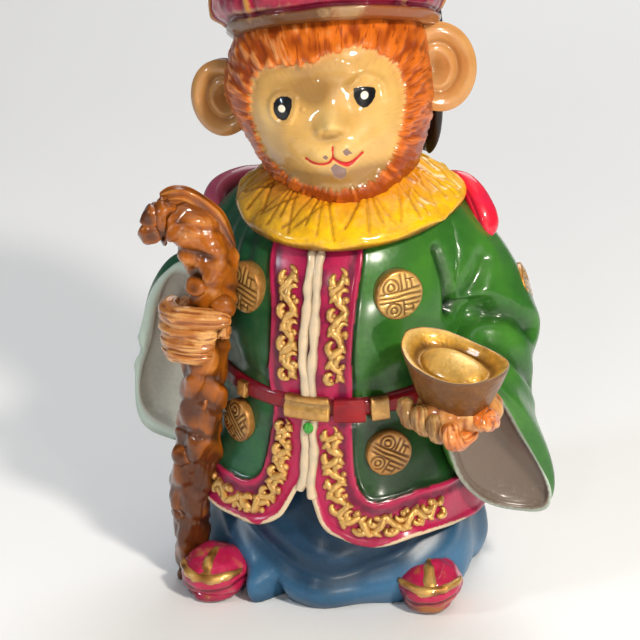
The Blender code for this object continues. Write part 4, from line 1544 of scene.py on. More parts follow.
@dataclass
class Collar:
    """The wide yellow collar with incised feather strokes."""

    torso: Torso
    shift: tuple = (1.0, -1.0, 0.0)
    thickness: float = 1.8
    reach: float = 20.0
    fans: int = 13
    leans: tuple = (-0.24, -0.06, 0.1, 0.25)
    seed: int = 6
    neck_height: float = 90.0
    rings: int = 56
    sides: int = 400

    def strokes(self, angle: np.ndarray, share: np.ndarray) -> np.ndarray:
        """Depth of the incised lines: fans of strokes from near the neck, at the left crossed by one more.

        Args:
            angle: round the neck from the front.
            share: from the neck to the edge.

        Returns:
            0 on the plain cloth to 1 in a line.
        """
        dice = np.random.default_rng(self.seed)
        cut, reach = np.zeros(np.broadcast(angle, share).shape), self.reach
        for fan in range(self.fans):
            middle = (fan - self.fans // 2) * 2 * math.pi / self.fans + 0.1 * (dice.random() - 0.5)
            away = wrapped(angle - middle) + middle
            for lean in self.leans:
                start = (middle * reach + 6 * lean, reach * (0.5 + 0.12 * dice.random()))
                drift = 2 * (dice.random() - 0.5)
                end = ((middle + lean) * reach + drift, reach * (0.86 + 0.1 * dice.random()))
                apart = path_distance(away * reach, share * reach, (start, end))
                cut = np.maximum(cut, bump(apart, 0.28) * (0.6 + 0.4 * dice.random()))
            if middle < 0.2:
                aslant = ((middle * reach - 3.5, reach * 0.9), (middle * reach + 2.5, reach * 0.66))
                cut = np.maximum(cut, 0.8 * bump(path_distance(angle * reach, share * reach, aslant), 0.26))
        return cut

    def build(self) -> None:
        """Makes the collar: a cone that flattens towards its edge, with a thin underside."""
        angle = around(self.sides)[None] - math.pi
        share = np.linspace(0.02, 1, self.rings)[:, None]
        front = np.cos(angle)
        radius_x, radius_y = 5 + 18.2 * share, 5 + (17.4 + 3.8 * step(front, 0.4)) * share
        edge = 81.6 - 3.8 * clipped(front) ** 1.5 + 1.2 * clipped(-front)
        level = self.neck_height + (edge - self.neck_height) * share**1.6
        flat = np.stack([radius_x * np.sin(angle), -radius_y * front, level * np.ones_like(angle)], -1)
        cut = self.strokes(angle, share)
        soft = grain(flat, 5.0, 2) - 0.5
        raise_by = -0.6 * cut + 0.7 * soft + 0.35 * np.cos(angle * 13) * share + 0.35 * ridged(flat, 3.2, 12)
        top = flat + np.stack([0 * raise_by, 0 * raise_by, raise_by], -1)
        top[-3:] -= np.array([0, 0, 0.15]) * np.arange(3)[:, None, None] ** 2
        under = flat[::-6] * (0.985, 0.985, 1) - (0, 0, self.thickness)
        rings = placed(np.concatenate([top, under]), turn("Z", self.torso.turned), self.shift)
        # Painted shade: darker cuts on the left than on the right, and a darker left side.
        faint = 1.3 - 0.7 * step(angle - 0.1, 0.4)
        shaded_side = step(-angle - 0.25, 0.3) * step(angle + 2.6, 0.3) + 0 * share
        # Painted shade under the chin, in orange.
        values = {
            "hollow": with_rows(clipped(faint * cut + clipped(-soft) * 0.5), 1, len(under)),
            "dull": with_rows(shaded_side, 1, len(under)),
            "under_chin": with_rows(step(0.72 - share, 0.14) * step(front, 0.3), 0, len(under)),
        }
        cast("collar", [Skin(rings, values)], COLLAR_YELLOW)


@dataclass
class Underskirt:
    """The blue underskirt that bellies over the ground between the feet."""

    levels: tuple = (-2, 1, 4, 9, 15, 24, 40)
    half_widths: tuple = (26.5, 28.6, 29.8, 29.8, 28.2, 25.6, 20.0)
    half_depths: tuple = (23.4, 25.4, 26.6, 26.4, 25.0, 23.0, 18.0)
    top: float = 34.0
    rings: int = 76
    sides: int = 240

    def build(self) -> None:
        """Makes the skirt: sections that swell near the ground, with folds that hang between the feet."""
        angle = around(self.sides)[None] - math.pi
        level = np.linspace(self.levels[0], self.top, self.rings)[:, None]
        width = eased(self.levels, self.half_widths, level)
        depth = eased(self.levels, self.half_depths, level)
        low = step(14 - level, 6)
        folds = low * (0.9 * np.cos(6 * angle + 0.5) + 0.5 * np.cos(11 * angle))
        swag = 2.0 + 13 * np.abs(angle - 0.1) ** 1.7
        front = step(np.cos(angle) - 0.25, 0.25)
        above = level - swag
        hang = 0.9 * bump(above, 2.4) - 1.1 * bump(above - 5.5, 2.2) + 0.5 * bump(above - 10, 2.5)
        back = 0.6 * np.cos(14 * angle) * step(16 - level, 5) * (1 - front)
        lobe = 5.2 * bump(angle + 0.43, 0.085) * step(6 - level, 2)
        lobe -= 3.0 * bump(angle + 0.315, 0.05) * step(5 - level, 1.5)
        out = folds + hang * front + back + lobe
        x = (width + out) * np.sin(angle)
        y = -2.0 - (depth + out) * np.cos(angle)
        rings = np.stack([x, y, np.maximum(level, 0.0) * np.ones_like(x)], -1)
        shade = step(level - 12.0, 4.5) + 0.8 * bump(above - 5.5, 2.6) * front
        shade = shade + 0.45 * bump(level, 2.0) + 0.5 * bump(angle + 0.1, 0.5)
        cast("underskirt", [Skin(rings, {"hollow": clipped(shade)})], SKIRT_PAINT)


@dataclass
class Shoes:
    """The two toes that show under the skirt, each with a gold stem and toe band."""

    places: tuple = ((-22.3, -24.4, -8.0, 0.0), (21.4, -20.4, 8.0, 0.6))
    stem: tuple = (
        (0, 1.0, 9.3, 0.8, 0.9), (0, -2.8, 8.8, 0.9, 1.1), (0, -5.6, 7.5, 0.9, 1.4), (0, -7.3, 6.2, 0.9, 2.0),
        (0, -8.1, 5.0, 0.9, 2.8),
    )

    def shoe(self, x: float, y: float, yaw: float, worn: float) -> tuple[list[Skin], list[Skin]]:
        """One toe: an upper and a sole, with a gold band that rises from the sole and a stem up the middle.

        Args:
            x: place of the toe.
            y: place of the toe.
            yaw: how far it points aside, in degrees.
            worn: how much gold is left on the sole.

        Returns:
            The shoe's skins, and the band's and the stem's.
        """
        turned = turn("Z", yaw)
        skins, bands = [], []
        for centre, radii in (((x, y, 4.7), (6.9, 8.4, 4.9)), ((x, y + 0.3, 1.4), (5.5, 7.5, 2.8))):
            rings = ball(centre, radii, turned, rings=56, sides=80)
            local = (rings - centre) @ turned
            quilt = (grain(rings, 3.4, 4) - 0.5) + 0.4 * (grain(rings, 1.6, 8) - 0.5)
            seam = bump(local[..., 2] + 1.6 - 0.035 * local[..., 0] ** 2, 0.35) * (local[..., 1] < 0)
            rings = raised(rings, quilt - 0.35 * seam)
            rings[..., 2] = np.maximum(rings[..., 2], 0.0)
            patches = 1.4 * (swirled(rings, 2.6, 12) - 0.5) - 0.42 + worn * bump(rings[..., 2] - 1.5, 1.5)
            # Painted shade near the ground and on each shoe's left side.
            low_and_side_shade = 0.6 * step(2.2 - rings[..., 2], 1.0) + 0.6 * step(-local[..., 0] - 2.5, 2.0)
            skins.append(Skin(rings, {"gilt": patches, "hollow": seam + low_and_side_shade}))
        a = np.linspace(-1.3, 1.3, 9)
        curve = np.stack(
            [np.sin(a) * 6.8, -np.cos(a) * 7.9, 6.2 + 0.7 * np.sin(a) ** 2, 0.9 - 0.4 * np.sin(a) ** 4], -1
        )
        for stations, side in ((self.stem, ACROSS), (curve, UPWARD)):
            rows = np.array(stations, float)
            rows[:, :3] = placed(rows[:, :3], turned, (x, y, 0))
            rings = tube(rows.tolist(), side=side, rings=56, sides=26)
            uneven = swirled(rings, 2.2, 6) - 0.5
            values = {"hollow": clipped(-2.4 * uneven), "crest": clipped(0.6 + 3 * uneven)}
            bands.append(Skin(raised(rings, 0.8 * uneven), values))
        return skins, bands

    def build(self) -> None:
        """Makes both shoes, and their gold bands."""
        made = [self.shoe(*place) for place in self.places]
        cast("shoes", [skin for shoe, _ in made for skin in shoe], SHOE_PAINT)
        cast("shoe_bands", [skin for _, bands in made for skin in bands], SCROLL_GOLD)


# Sleeves and hands


@dataclass
class Sleeve:
    """A hanging sleeve: loops from the shoulder to the mouth, pressed creases and a lining.

    A loop is its centre, its half axes outward and upward, how it widens below and how square it is. A crease
    is a groove's start and end as (share of the length, angle round the sleeve), and its depth in mm. A
    pressed line is its points in the figure's frame, and its depth. The rest is how far the mouth ripples,
    how much thinner the wall is at the lip, how far the paint of lip and lining reaches in mm, with a painted
    highlight on the lip near the ground, and the shares of pale paint, of painted shade that deepens into the
    sleeve and of bluish painted shade on the side away from the light. What is named low counts only near the
    ground.
    """

    name: str
    loops: tuple
    creases: tuple
    pressed_lines: tuple
    side: int
    ripple: float = 1.0
    thinner: float = 0.0
    lip: float = 1.7
    lip_highlight_low: float = 0.0
    lining: float = -1.7
    pale: float = 1.0
    pale_low: float = 0.0
    deepening: float = 0.04
    cool_shade: float = 1.0
    wall: float = 2.0
    length: float = 75.0
    girth: float = 11.0
    rings: int = 120
    sides: int = 170

    def outside(self) -> np.ndarray:
        """The plain cloth: rings between the loops, each an ellipse that widens below.

        Returns:
            The rings.
        """
        flat = np.array([[*centre, *out, *up, *form] for centre, out, up, *form in self.loops], float)
        rows = eased(np.linspace(0, 1, len(flat)), flat, np.linspace(0, 1, self.rings))[:, None]
        centre, outward, upward, wider, square = np.split(rows, (3, 6, 9, 10), axis=-1)
        angle = around(self.sides)[None, :, None]
        out, up = bent(np.cos(angle), square), bent(np.sin(angle), square)
        return centre + outward * out * (1 - wider * up) + upward * up

    def pressing(self, outside: np.ndarray) -> tuple[np.ndarray, np.ndarray]:
        """How deep the creases press the cloth, and how far it swells beside them.

        Args:
            outside: the plain cloth.

        Returns:
            Both in mm.
        """
        size = (self.length, self.girth)
        u = np.linspace(0, 1, self.rings)[:, None] * self.length
        v = around(self.sides)[None] * self.girth
        pressed = np.zeros(outside.shape[:2])
        beside = np.zeros_like(pressed)
        for start, end, deep in self.creases:
            begin, finish = np.multiply(start, size), np.multiply(end, size)
            run = finish - begin
            t = clipped(((u - begin[0]) * run[0] + (v - begin[1]) * run[1]) / (run @ run))
            apart = np.hypot(u - begin[0] - t * run[0], v - begin[1] - t * run[1])
            fade = 1 - 0.65 * t
            pressed += deep * fade * bump(apart, 1.6)
            beside += 0.35 * deep * fade * bump(apart - 3.2, 1.6)
        for line, deep in self.pressed_lines:
            apart = line_distance(outside, line)
            pressed += deep * bump(apart, 1.8)
            beside += 0.4 * deep * bump(apart - 3.6, 1.9)
        return pressed, beside

    def build(self, torso: Torso) -> None:
        """Makes the sleeve: cloth pressed by its creases, a rolled lip, then a lining that follows it inward.

        Args:
            torso: the robe's surface, which the sleeve melts into at the shoulder.
        """
        outside, s = self.outside(), np.linspace(0, 1, self.rings)[:, None]
        pressed, beside = self.pressing(outside)
        soft = grain(outside, 11.0, 5) - 0.5
        middle = outside.mean(1, keepdims=True)
        reach = np.linalg.norm(outside - middle, axis=2, keepdims=True)
        away = (outside - middle) / np.maximum(reach, TINY)
        near_mouth = step(s - 0.965, 0.012)
        joined = melted(outside, torso.flank(self.side), step(0.62 - s, 0.06))
        ripple = 0.8 * np.sin(4 * around(self.sides) + 0.4) * step(s - 0.85, 0.05) * self.ripple
        lift = beside - pressed + 0.9 * soft + 0.35 * near_mouth + joined + ripple
        cloth = outside + away * np.clip(lift, -reach[..., 0], None)[..., None]
        inward = outside[: -self.rings // 5 : -1]
        centre = inward.mean(1, keepdims=True)
        span = np.linalg.norm(inward - centre, axis=2, keepdims=True)
        share = np.linspace(0, 1, len(inward))[:, None]
        thickness = self.wall * (1 - self.thinner * step(0.2 - share, 0.12))
        lining = centre + (inward - centre) * clipped(1 - thickness[..., None] / span)
        lining = centre + (lining - centre) * (1 - 0.75 * share[..., None] ** 4)
        edge = self.length * (s - 1) * np.ones_like(pressed)
        depth = 15 * share * np.ones(lining.shape[:2])
        low = step(26 - lining[..., 2], 3)
        # A painted highlight on the lip near the ground.
        lip = edge + self.lip + self.lip_highlight_low * step(27 - cloth[..., 2], 2)
        pale = self.pale_low * low + self.pale
        outer = -np.ones_like(edge)
        # Painted shade: bluish over the left sleeve, and darker deeper into the lining.
        values = {
            "lip": with_rows(lip, 1, len(lining)),
            "lining": np.concatenate([edge - 0.2, depth + self.lining]),
            "lining_pale": np.concatenate([outer, pale]),
            "lining_deep": np.concatenate([outer, depth * self.deepening * (1.1 - low)]),
            "cool_side": self.cool_shade,
            "hollow": with_rows(clipped(pressed * 0.5 - 0.6 * soft), 0, len(lining)),
        }
        cast(self.name, [Skin(np.concatenate([cloth, lining]), values)], SLEEVE_CLOTH)


INGOT_SLEEVE = Sleeve(
    "sleeve_on_ingot_side",
    (
        ((9, 2, 76), (4, 0, 5), (0, -8, 0), 0, 1),
        ((17, 2.5, 72), (6, 0, 6.5), (0, -10.5, 0), 0, 1),
        ((24, 3, 64), (8.8, 0, 4.2), (0, -11.5, 0), 0, 1),
        ((28.6, 2.5, 55), (10.4, 0, 1), (0, -9.5, 6), 0, 1),
        ((29.3, -3, 47.5), (9.6, 0, 0), (0, -6, 9), 0.05, 1),
        ((30.5, -11, 42), (9.6, 1, -0.5), (-2.5, -6, 12.5), 0.12, 1),
        ((33.0, -17.0, 36.2), (10.2, 2.5, -1.5), (-4, -6.5, 16.3), 0.2, 0.85),
        ((31.9, -19.2, 37.2), (7.9, 2.0, -1.1), (-6.2, -6.2, 18.4), 0.32, 0.66),
    ),
    (((0.51, 4.4), (0.36, 5.3), 1.1),),
    (
        (ARMPIT_CREASES[0], 1.1),
        (ARMPIT_CREASES[1], 1.1),
        (((23.1, -12.6, 59.8), (29.2, -7.5, 59.4), (33.7, -5.7, 58.4), (38.4, -2.6, 54.5)), 1.4),
        (((31.0, -12.8, 54.6), (36.2, -10.4, 50.6), (39.8, -6.0, 43.8)), 1.1),
    ),
    side=1,
    ripple=0.25,
    thinner=0.5,
    lip=-0.3,
    lip_highlight_low=1.6,
    lining=0.3,
    pale=0.0,
    pale_low=0.1,
    deepening=0.09,
    cool_shade=0.0,
)
STAFF_SLEEVE = Sleeve(
    "sleeve_on_staff_side",
    (
        ((-9, 2, 76), (-4, 0, 5), (0, -8, 0), 0, 1),
        ((-17, 2.5, 72.5), (-6, 0, 6.5), (0, -10.0, 0), 0, 1),
        ((-23.5, 2.5, 66), (-8.4, 0, 4), (0, -11, 2), 0, 1),
        ((-28, 0.5, 59), (-9.3, 0, 2), (0, -9.5, 7), 0, 1),
        ((-30.5, -5.5, 52.0), (-9.4, 1, 0.5), (2, -7, 14.5), 0.12, 0.95),
        ((-31.8, -10.0, 50.0), (-9.5, 1.3, 1.3), (3.0, -5.6, 20.0), 0.16, 0.8),
        ((-32.6, -13.0, 47.2), (-8.5, 1.5, 2.0), (3.4, -4.5, 20.5), 0.32, 0.64),
    ),
    (((0.42, 2.4), (0.25, 2.4), 1.3), ((0.46, 2.5), (0.46, 0.6), 1.3), ((0.5, 4.4), (0.35, 5.3), 1.1)),
    ((((-43.0, -14.0, 46.0), (-41.0, -6.0, 47.0)), 1.0),),
    side=-1,
)


@dataclass
class Ribbons:
    """The two crimson ribbon tails that lie over the shoulders."""

    ingot_side: tuple = (
        (15, 13, 80.5, 1.6, 1.4), (22.5, 7, 81.8, 2.2, 1.9), (27.0, 3.5, 77.4, 2.9, 2.3),
        (29.0, 1.0, 72.0, 2.5, 2.1),
    )
    staff_side: tuple = (
        (-15, 15, 80.0, 1.6, 1.4), (-24.5, 9, 79.6, 2.4, 2.0), (-28.6, 4.0, 77.2, 2.9, 2.3),
        (-27.6, -1.5, 73.0, 2.4, 2.0),
    )
    sides: int = 50

    def build(self) -> None:
        """Makes both tails: flattened tubes with a soft fold down the middle."""
        skins, over = [], around(self.sides)[None] - 0.4
        fold = bump(np.sin(over), 0.12) * (np.cos(over) > 0)
        for side, stations in ((1, self.ingot_side), (-1, self.staff_side)):
            rings = tube(stations, (side * 0.6, -0.4, 0.7), rings=76, sides=self.sides, ends=0.2)
            rings = raised(rings, 0.3 * (grain(rings, 4.0, 1) - 0.5) - 0.25 * fold)
            # Painted shade: the left ribbon is painted a darker purple.
            skins.append(Skin(rings, {"hollow": 0.7 * fold, "dusky": float(side < 0)}))
        cast("shoulder_ribbons", skins, RIBBON_RED)


@dataclass
class Staff:
    """The gnarled staff, whose top bends over like a beast's head."""

    girth: float = 4.1
    rings: int = 380
    sides: int = 104
    path: tuple = (
        (-29.0, -19.5, -2, 0.66), (-28.9, -20.5, 8, 0.8), (-28.2, -21.8, 20, 1.0), (-26.6, -23.5, 30, 1.14),
        (-25.0, -24.6, 38, 1.05), (-24.2, -25.6, 48, 1.08), (-22.6, -26.4, 60, 0.98),
        (-21.6, -26.6, 67, 1.08), (-21.9, -27.0, 74, 1.12), (-25.6, -28.3, 79.5, 1.08),
        (-29.6, -30.0, 81.2, 1.02), (-31.8, -31.2, 81.0, 0.72),
    )
    knots: tuple = (
        ((-32.0, -31.6, 82.4), 0.56), ((-29.6, -31.2, 83.0), 0.62), ((-32.2, -31.4, 79.2), 0.6),
        ((-23.5, -30.4, 68.5), 0.55), ((-18.6, -29.6, 64.6), 0.6), ((-28.4, -26.0, 30.5), 0.6),
        ((-24.2, -27.4, 43.0), 0.45), ((-30.4, -23.0, 16.5), 0.5),
    )

    def stem(self) -> Skin:
        """The stem: a tube with twisting ribs, gouges and lumps of three sizes.

        Returns:
            The stem's skin.
        """
        girth = self.girth
        stations = [(x, y, z, girth * r) for x, y, z, r in self.path]
        rings = tube(stations, (1, 0.3, 0), rings=self.rings, sides=self.sides, ends=0.02)
        s, angle = np.linspace(0, 1, self.rings)[:, None], around(self.sides)[None]
        gnarl = 0.11 * np.sin(3 * angle + 34 * s) + 0.06 * np.sin(5 * angle - 52 * s + 1)
        middle = rings.mean(1, keepdims=True)
        rings = middle + (rings - middle) * (1 + gnarl)[..., None]
        lumps, soft = 2.2 * swirled(rings, 5.0, 1) - 1.0, swirled(rings, 6.0, 15)
        bark = ridged(rings * (1.0, 1.0, 0.75), 2.3, 2)
        twist = angle + 7 * s
        shreds = ridged(np.stack([13 * np.cos(twist), 13 * np.sin(twist), 60 * s + 0 * angle], -1), 2.6, 3)
        wraps = bump(np.mod(rings[..., 2] + 2.4 * np.sin(angle + 1) + 4 * soft, 6.6) - 3.3, 0.9)
        wraps = wraps * step(swirled(rings, 5.0, 33) - 0.42, 0.3)
        relief = 0.75 * lumps + 0.06 * bark + 0.1 * shreds - 0.7 * wraps
        gouge = bump(rings[..., 2] - 70.5, 2.0) * bump(angle - 3.9, 0.5)
        rings = raised(rings, relief - 0.8 * gouge)
        rings[..., 2] = np.maximum(rings[..., 2], 0.0)
        # Darker towards the foot, partly dark paint and partly painted shade. Painted shade on the left of
        # the upper stem, and in patches on the head's left end.
        foot = 0.65 * step(36 - rings[..., 2], 14) + 0.5 * step(18 - rings[..., 2], 6)
        left = clipped((middle - rings)[..., 0] / girth) * step(rings[..., 2] - 62, 4)
        muzzle = 0.8 * step(-29.5 - rings[..., 0], 1.2) * step(rings[..., 2] - 74, 2)
        muzzle = muzzle * step(2 * grain(rings, 2.6, 5) - 0.6, 0.4)
        patches = 0.9 * (swirled(rings, 3.4, 41) - 0.45)
        dark = 0.25 - relief * 1.5 + gouge + foot + 0.45 * left + muzzle + patches
        return Skin(rings, {"hollow": clipped(dark), "crest": clipped(relief * 1.5 - foot)})

    def mane(self) -> list[Skin]:
        """Three long shreds of bark, side by side, swept back from the head.

        Returns:
            The shreds' skins.
        """
        girth, sides, skins = self.girth, 30, []
        for index, (shift, thick) in enumerate(((-1.5, 0.27), (0.1, 0.34), (1.6, 0.3))):
            rings = tube(
                [
                    (-31.5 + 0.4 * shift, -29.5, 84.3 + shift, thick * girth),
                    (-27 + 0.5 * shift, -28.2, 84.6 + shift, thick * girth * 1.15),
                    (-22.0 + 0.7 * shift, -26.7, 81.0 + 0.7 * shift, thick * girth * 1.15),
                    (-17.8 + 0.5 * shift, -26.2, 75.0 + 0.3 * shift, thick * girth * 0.8),
                ],
                side=(0.6, 0, 0.8),
                rings=80,
                sides=sides,
                ends=0.2,
            )
            ribs = 0.16 * np.cos(5 * around(sides) + index)[None] + 0.4 * (grain(rings, 3.0, index) - 0.5)
            values = {"hollow": clipped(0.3 - ribs * 2.5), "crest": clipped(ribs * 4)}
            skins.append(Skin(raised(rings, ribs), values))
        return skins

    def build(self) -> None:
        """Makes the stem, the mane and the knots as one piece."""
        skins = [self.stem(), *self.mane()]
        for index, (centre, share) in enumerate(self.knots):
            rings = ball(centre, (self.girth * share,) * 3, rings=26, sides=36)
            relief = 0.8 * (ridged(rings @ SKEW, 2.6, 10 + index) - 0.5)
            # The knots are darker towards the foot, partly painted shade, and take painted shade on the far
            # left.
            dark = 0.35 - relief + 0.65 * step(36 - rings[..., 2], 14) + 0.4 * step(-30 - rings[..., 0], 2)
            values = {"hollow": clipped(dark), "crest": clipped(relief)}
            skins.append(Skin(raised(rings, relief * 0.6), values))
        cast("gnarled_staff", skins, BARK)


def furred(
    rings: np.ndarray,
    seed: float,
    lines: float = 5.0,
    deep: float = 0.32,
    olive: float = 0.0,
    orange: float = 0.0,
) -> Skin:
    """A finger or arm whose fur is cut as grooves that run along it.

    The grooves follow lines round the ring that wander with the length, and break off where the grain is low.

    Args:
        rings: the smooth skin.
        seed: varies the grooves.
        lines: grooves round the ring.
        deep: their depth in mm.
        olive: share of painted shade, in a darker greenish gold, over the paint.
        orange: share of orange over the paint.

    Returns:
        The grooved skin.
    """
    rows, sides = rings.shape[:2]
    angle, s = around(sides)[None], np.linspace(0, 1, rows)[:, None]
    wander = 1.2 * (grain(np.stack([6 * s, 0 * s, 0 * s + seed], -1), 1.0, seed) - 0.5)
    wave = np.cos(lines * angle + 3 * wander + seed)
    cut = clipped(-wave * 2.2 - 1.25) * step(grain(rings, 1.5, seed) - 0.46, 0.08)
    spun = np.stack([9 * np.cos(angle) + 0 * s, 9 * np.sin(angle) + 0 * s, 5 * s + seed + 0 * angle], -1)
    fine = 2 * grain(spun, 0.9, seed) - 1
    relief = -0.8 * deep * cut + 0.22 * fine + 0.5 * (grain(rings, 2.6, seed + 2) - 0.5)
    values = {
        "hollow": clipped(0.95 * cut + 0.8 * clipped(-fine)),
        "crest": clipped(0.5 + relief * 2),
        "olive": olive,
        "orange": orange,
    }
    return Skin(raised(rings, relief), values)


@dataclass
class Hands:
    """The fist round the staff and the open hand under the ingot."""

    grip: float = -30.5
    rows: tuple = ((62.3, -16.6, 2.3), (59.2, -19.6, 1.95), (56.7, -20.0, 1.85), (54.4, -20.6, 1.6))

    def fist(self) -> list[Skin]:
        """A palm, a wrist, a thumb end and four stacked fingers in front of the stem.

        Returns:
            Their skins.
        """
        arm = ((-31, -4, 54, 4.2), (-29.5, -14, 56.5, 4.4), (-27.5, -24, 58.6, 4.8))
        thumb = ((-20.4, -26, 60.0, 1.6), (-19.6, -27.2, 58.6, 1.8), (-19.6, -27.4, 57.0, 1.4))
        skins = [
            furred(ball((-26.4, -25.8, 58.2), (5.2, 5.2, 6.0), rings=44, sides=60), 1, 9),
            furred(tube(arm, ACROSS, sides=44), 2, 8),
            furred(tube(thumb, ACROSS), 3, 4),
        ]
        for index, (z, tip, thick) in enumerate(self.rows):
            path = [
                (-29.4, -24.5, z, thick),
                (-30.0, -28.5, z, thick),
                (-27.6, self.grip - 1.0, z + 0.2, thick),
                (-24.0, self.grip - 1.7, z + 0.2, thick),
                (tip, self.grip - 0.6, z, 0.85 * thick),
            ]
            skins.append(furred(tube(path, UPWARD, rings=104, sides=50, ends=0.1), 4.3 + index, 6))
        return skins

    def open_hand(self) -> list[Skin]:
        """A palm, a wrist, a thumb at the side and four fingers curled up in front.

        Returns:
            Their skins.
        """
        arm = ((29.5, -6, 45.5, 4.0), (29.2, -18, 46.6, 4.2), (29.2, -28, 48.0, 4.7))
        thumb = ((33, -33, 47.5, 2.4), (34.2, -37.6, 48.6, 2.5), (33.8, -40.6, 50.6, 2.1))
        skins = [
            furred(ball((28.5, -32.5, 48.6), (8.2, 8.4, 4.6), turn("Z", -25), rings=44, sides=64), 11, 9),
            furred(tube(arm, ACROSS, sides=44), 12, 8),
            furred(tube(thumb, ACROSS, sides=44), 13, 4, orange=1.0),
        ]
        for finger in range(4):
            x, y = 18.6 + 3.1 * finger, -35.2 - 1.9 * finger
            path = [
                (x + 4.0, y + 4.5, 46.4, 1.9),
                (x + 1.2, y + 0.6, 46.0 - 0.4 * finger, 1.95),
                (x + 0.2, y - 0.9, 47.9 - 0.5 * finger, 1.85),
                (x - 0.2, y - 0.2, 51.0 - 0.7 * finger, 1.6),
            ]
            # Painted shade on three of the four fingers.
            tones = {"olive": 1.0 if finger < 3 else 0.2, "orange": 0.7 if finger == 3 else 0.0}
            skins.append(furred(tube(path, ACROSS, rings=74, sides=44), 14.7 + finger, 4, 0.2, **tones))
        return skins

    def build(self) -> None:
        """Makes both hands."""
        cast("staff_hand", self.fist(), PAW_FUR)
        cast("ingot_hand", self.open_hand(), PAW_FUR)


@dataclass
class Ingot:
    """The boat-shaped ingot that the open hand holds up."""

    length: float = 22.8
    width: float = 15.0
    height: float = 11.2
    mouth: float = 0.955
    centre: tuple = (27.6, -36.2, 59.6)
    turned: float = -31.0
    pitch: float = 9.0
    roll: float = 8.0
    bowl_rings: int = 60
    sides: int = 170

    def build(self) -> None:
        """Makes the ingot: a hull that narrows downwards, rising pointed ends, a dome in its hollow top."""
        turned = turn("Z", self.turned) @ turn("X", self.pitch) @ turn("Y", self.roll)
        angle = around(self.sides)[None]
        pointed = bent(np.cos(angle), 0.85)
        along, across = self.length / 2 * pointed, self.width / 2 * np.sin(angle)
        sheer = 0.16 * self.height * np.cos(angle) ** 2
        share = np.concatenate([np.linspace(0, 0.96, 38), np.linspace(0.965, 1, 8)])[:, None]
        narrow = 0.52 + 0.48 * share**0.8 - 0.02 * bump(share - 1, 0.02)
        hull = np.stack([along * narrow, across * narrow, -self.height * (1 - share) + sheer * share**2], -1)
        inner = np.linspace(self.mouth, 0.01, self.bowl_rings)[:, None]
        dome = clipped(1 - (inner / 0.62) ** 2) ** 0.7
        hollow = -0.2 * self.height * step(0.78 - inner, 0.1) + 0.27 * self.height * dome
        bowl = np.stack([along * inner, across * inner, hollow + sheer * inner**2], -1)
        foot = hull[:1] * (0.3, 0.3, 1)
        rings = np.concatenate([foot, hull, bowl])
        worn = 0.35 * (grain(rings, 2.2, 7) - 0.5) + 0.3 * (grain(rings, 4.5, 9) - 0.5)
        rings = rings + (rings - rings.mean((0, 1))) / 12 * worn[..., None]
        rim = np.concatenate([
            np.full(foot.shape[:2], -3.0),
            (share - 1) * 11 + 0.45 + 0 * hull[..., 0],
            (self.mouth - inner) * -9 + 0.1 + 0 * bowl[..., 0],
        ])
        moat = bump(inner - 0.7, 0.07) + 0 * bowl[..., 0]
        flat = np.zeros((1 + len(share), angle.shape[1]))
        # Painted shade down the hull and in the moat; a painted highlight on the dome and one end of the
        # bowl.
        low = np.concatenate([flat[:1] + 1, 0.45 + 0.5 * (1 - share) + 0 * hull[..., 0], moat])
        bright_end = 0.9 * step(inner - 0.84, 0.05) * step(-pointed - 0.1, 0.4)
        lit = np.concatenate([flat, dome + bright_end])
        outer = np.concatenate([flat + 1, 0 * bowl[..., 0]])
        side = rings[..., 1] / self.width - 0.6 * rings[..., 0] / self.length
        values = {"rim": rim - 1.1 * step(side + 0.05, 0.12), "hollow": low, "dome": lit, "hull": outer}
        skin = Skin(placed(rings, turned, self.centre), values)
        cast("boat_ingot", [skin], INGOT_GOLD)


# The head


@dataclass
class HeadPose:
    """Where the head sits and how it tilts."""

    centre: tuple = (-3.2, -1.0, 101.0)
    radii: tuple = (20.2, 20.6, 22.6)
    yaw: float = 9.0
    roll: float = -9.0
    pitch: float = -6.0
    crown_width: float = 0.14
    jaw_taper: float = 0.15

    def axes(self) -> np.ndarray:
        """The head's axes: turned about Z, then Y, then X."""
        return turn("Z", self.yaw) @ turn("Y", self.roll) @ turn("X", self.pitch)


# Hills in mm: the height, the place and width across the face, the place and width up it
FACE_FORMS = {
    "muzzle": ((2.8, 0.8, 8.5, -10.0, 6.0),),
    "beard": ((3.6, 0, 9.5, -18.0, 5.0),),
    "brow": ((-0.9, 0.5, 9, 4.6, 2.6), (0.5, 0, 12, 9.0, 2.0)),
    "nose": ((3.9, 0.9, 2.4, -3.5, 2.0), (0.6, 0.9, 2.3, 0.6, 2.8)),
    "wings": ((0.8, -1.7, 0.9, -4.3, 1.1), (0.8, 2.7, 0.9, -4.3, 1.1)),
    "nostrils": ((-0.45, -1.1, 0.55, -5.5, 0.5), (-0.45, 2.1, 0.55, -5.5, 0.5)),
    "below the nose": ((-0.7, 0.5, 2.4, -6.3, 0.8),),
    "lips": ((1, -2.1, 2.3, -8.8, 1.7), (1, 2.9, 2.3, -8.8, 1.7)),
    "chin": ((0.8, 1.0, 3.2, -13.3, 1.6),),
    "sockets": ((-1.4, 8, 4.4, 1.2, 3.8), (-1.4, -8, 4.2, 1.2, 3.8)),
    "eyeballs": ((1.5, 7.7, 2.6, 0.5, 2.7), (1.5, -8.1, 2.5, 0.5, 2.7)),
    "upper lid": ((0.8, 7.9, 2.6, 3.3, 0.9),),
    "tear": ((0.55, -4.4, 0.45, -0.1, 0.4),),
    "cheeks": ((0.9, -8.5, 4.5, -7.0, 4.5), (0.9, 9.5, 4.0, -7.0, 4.5)),
}


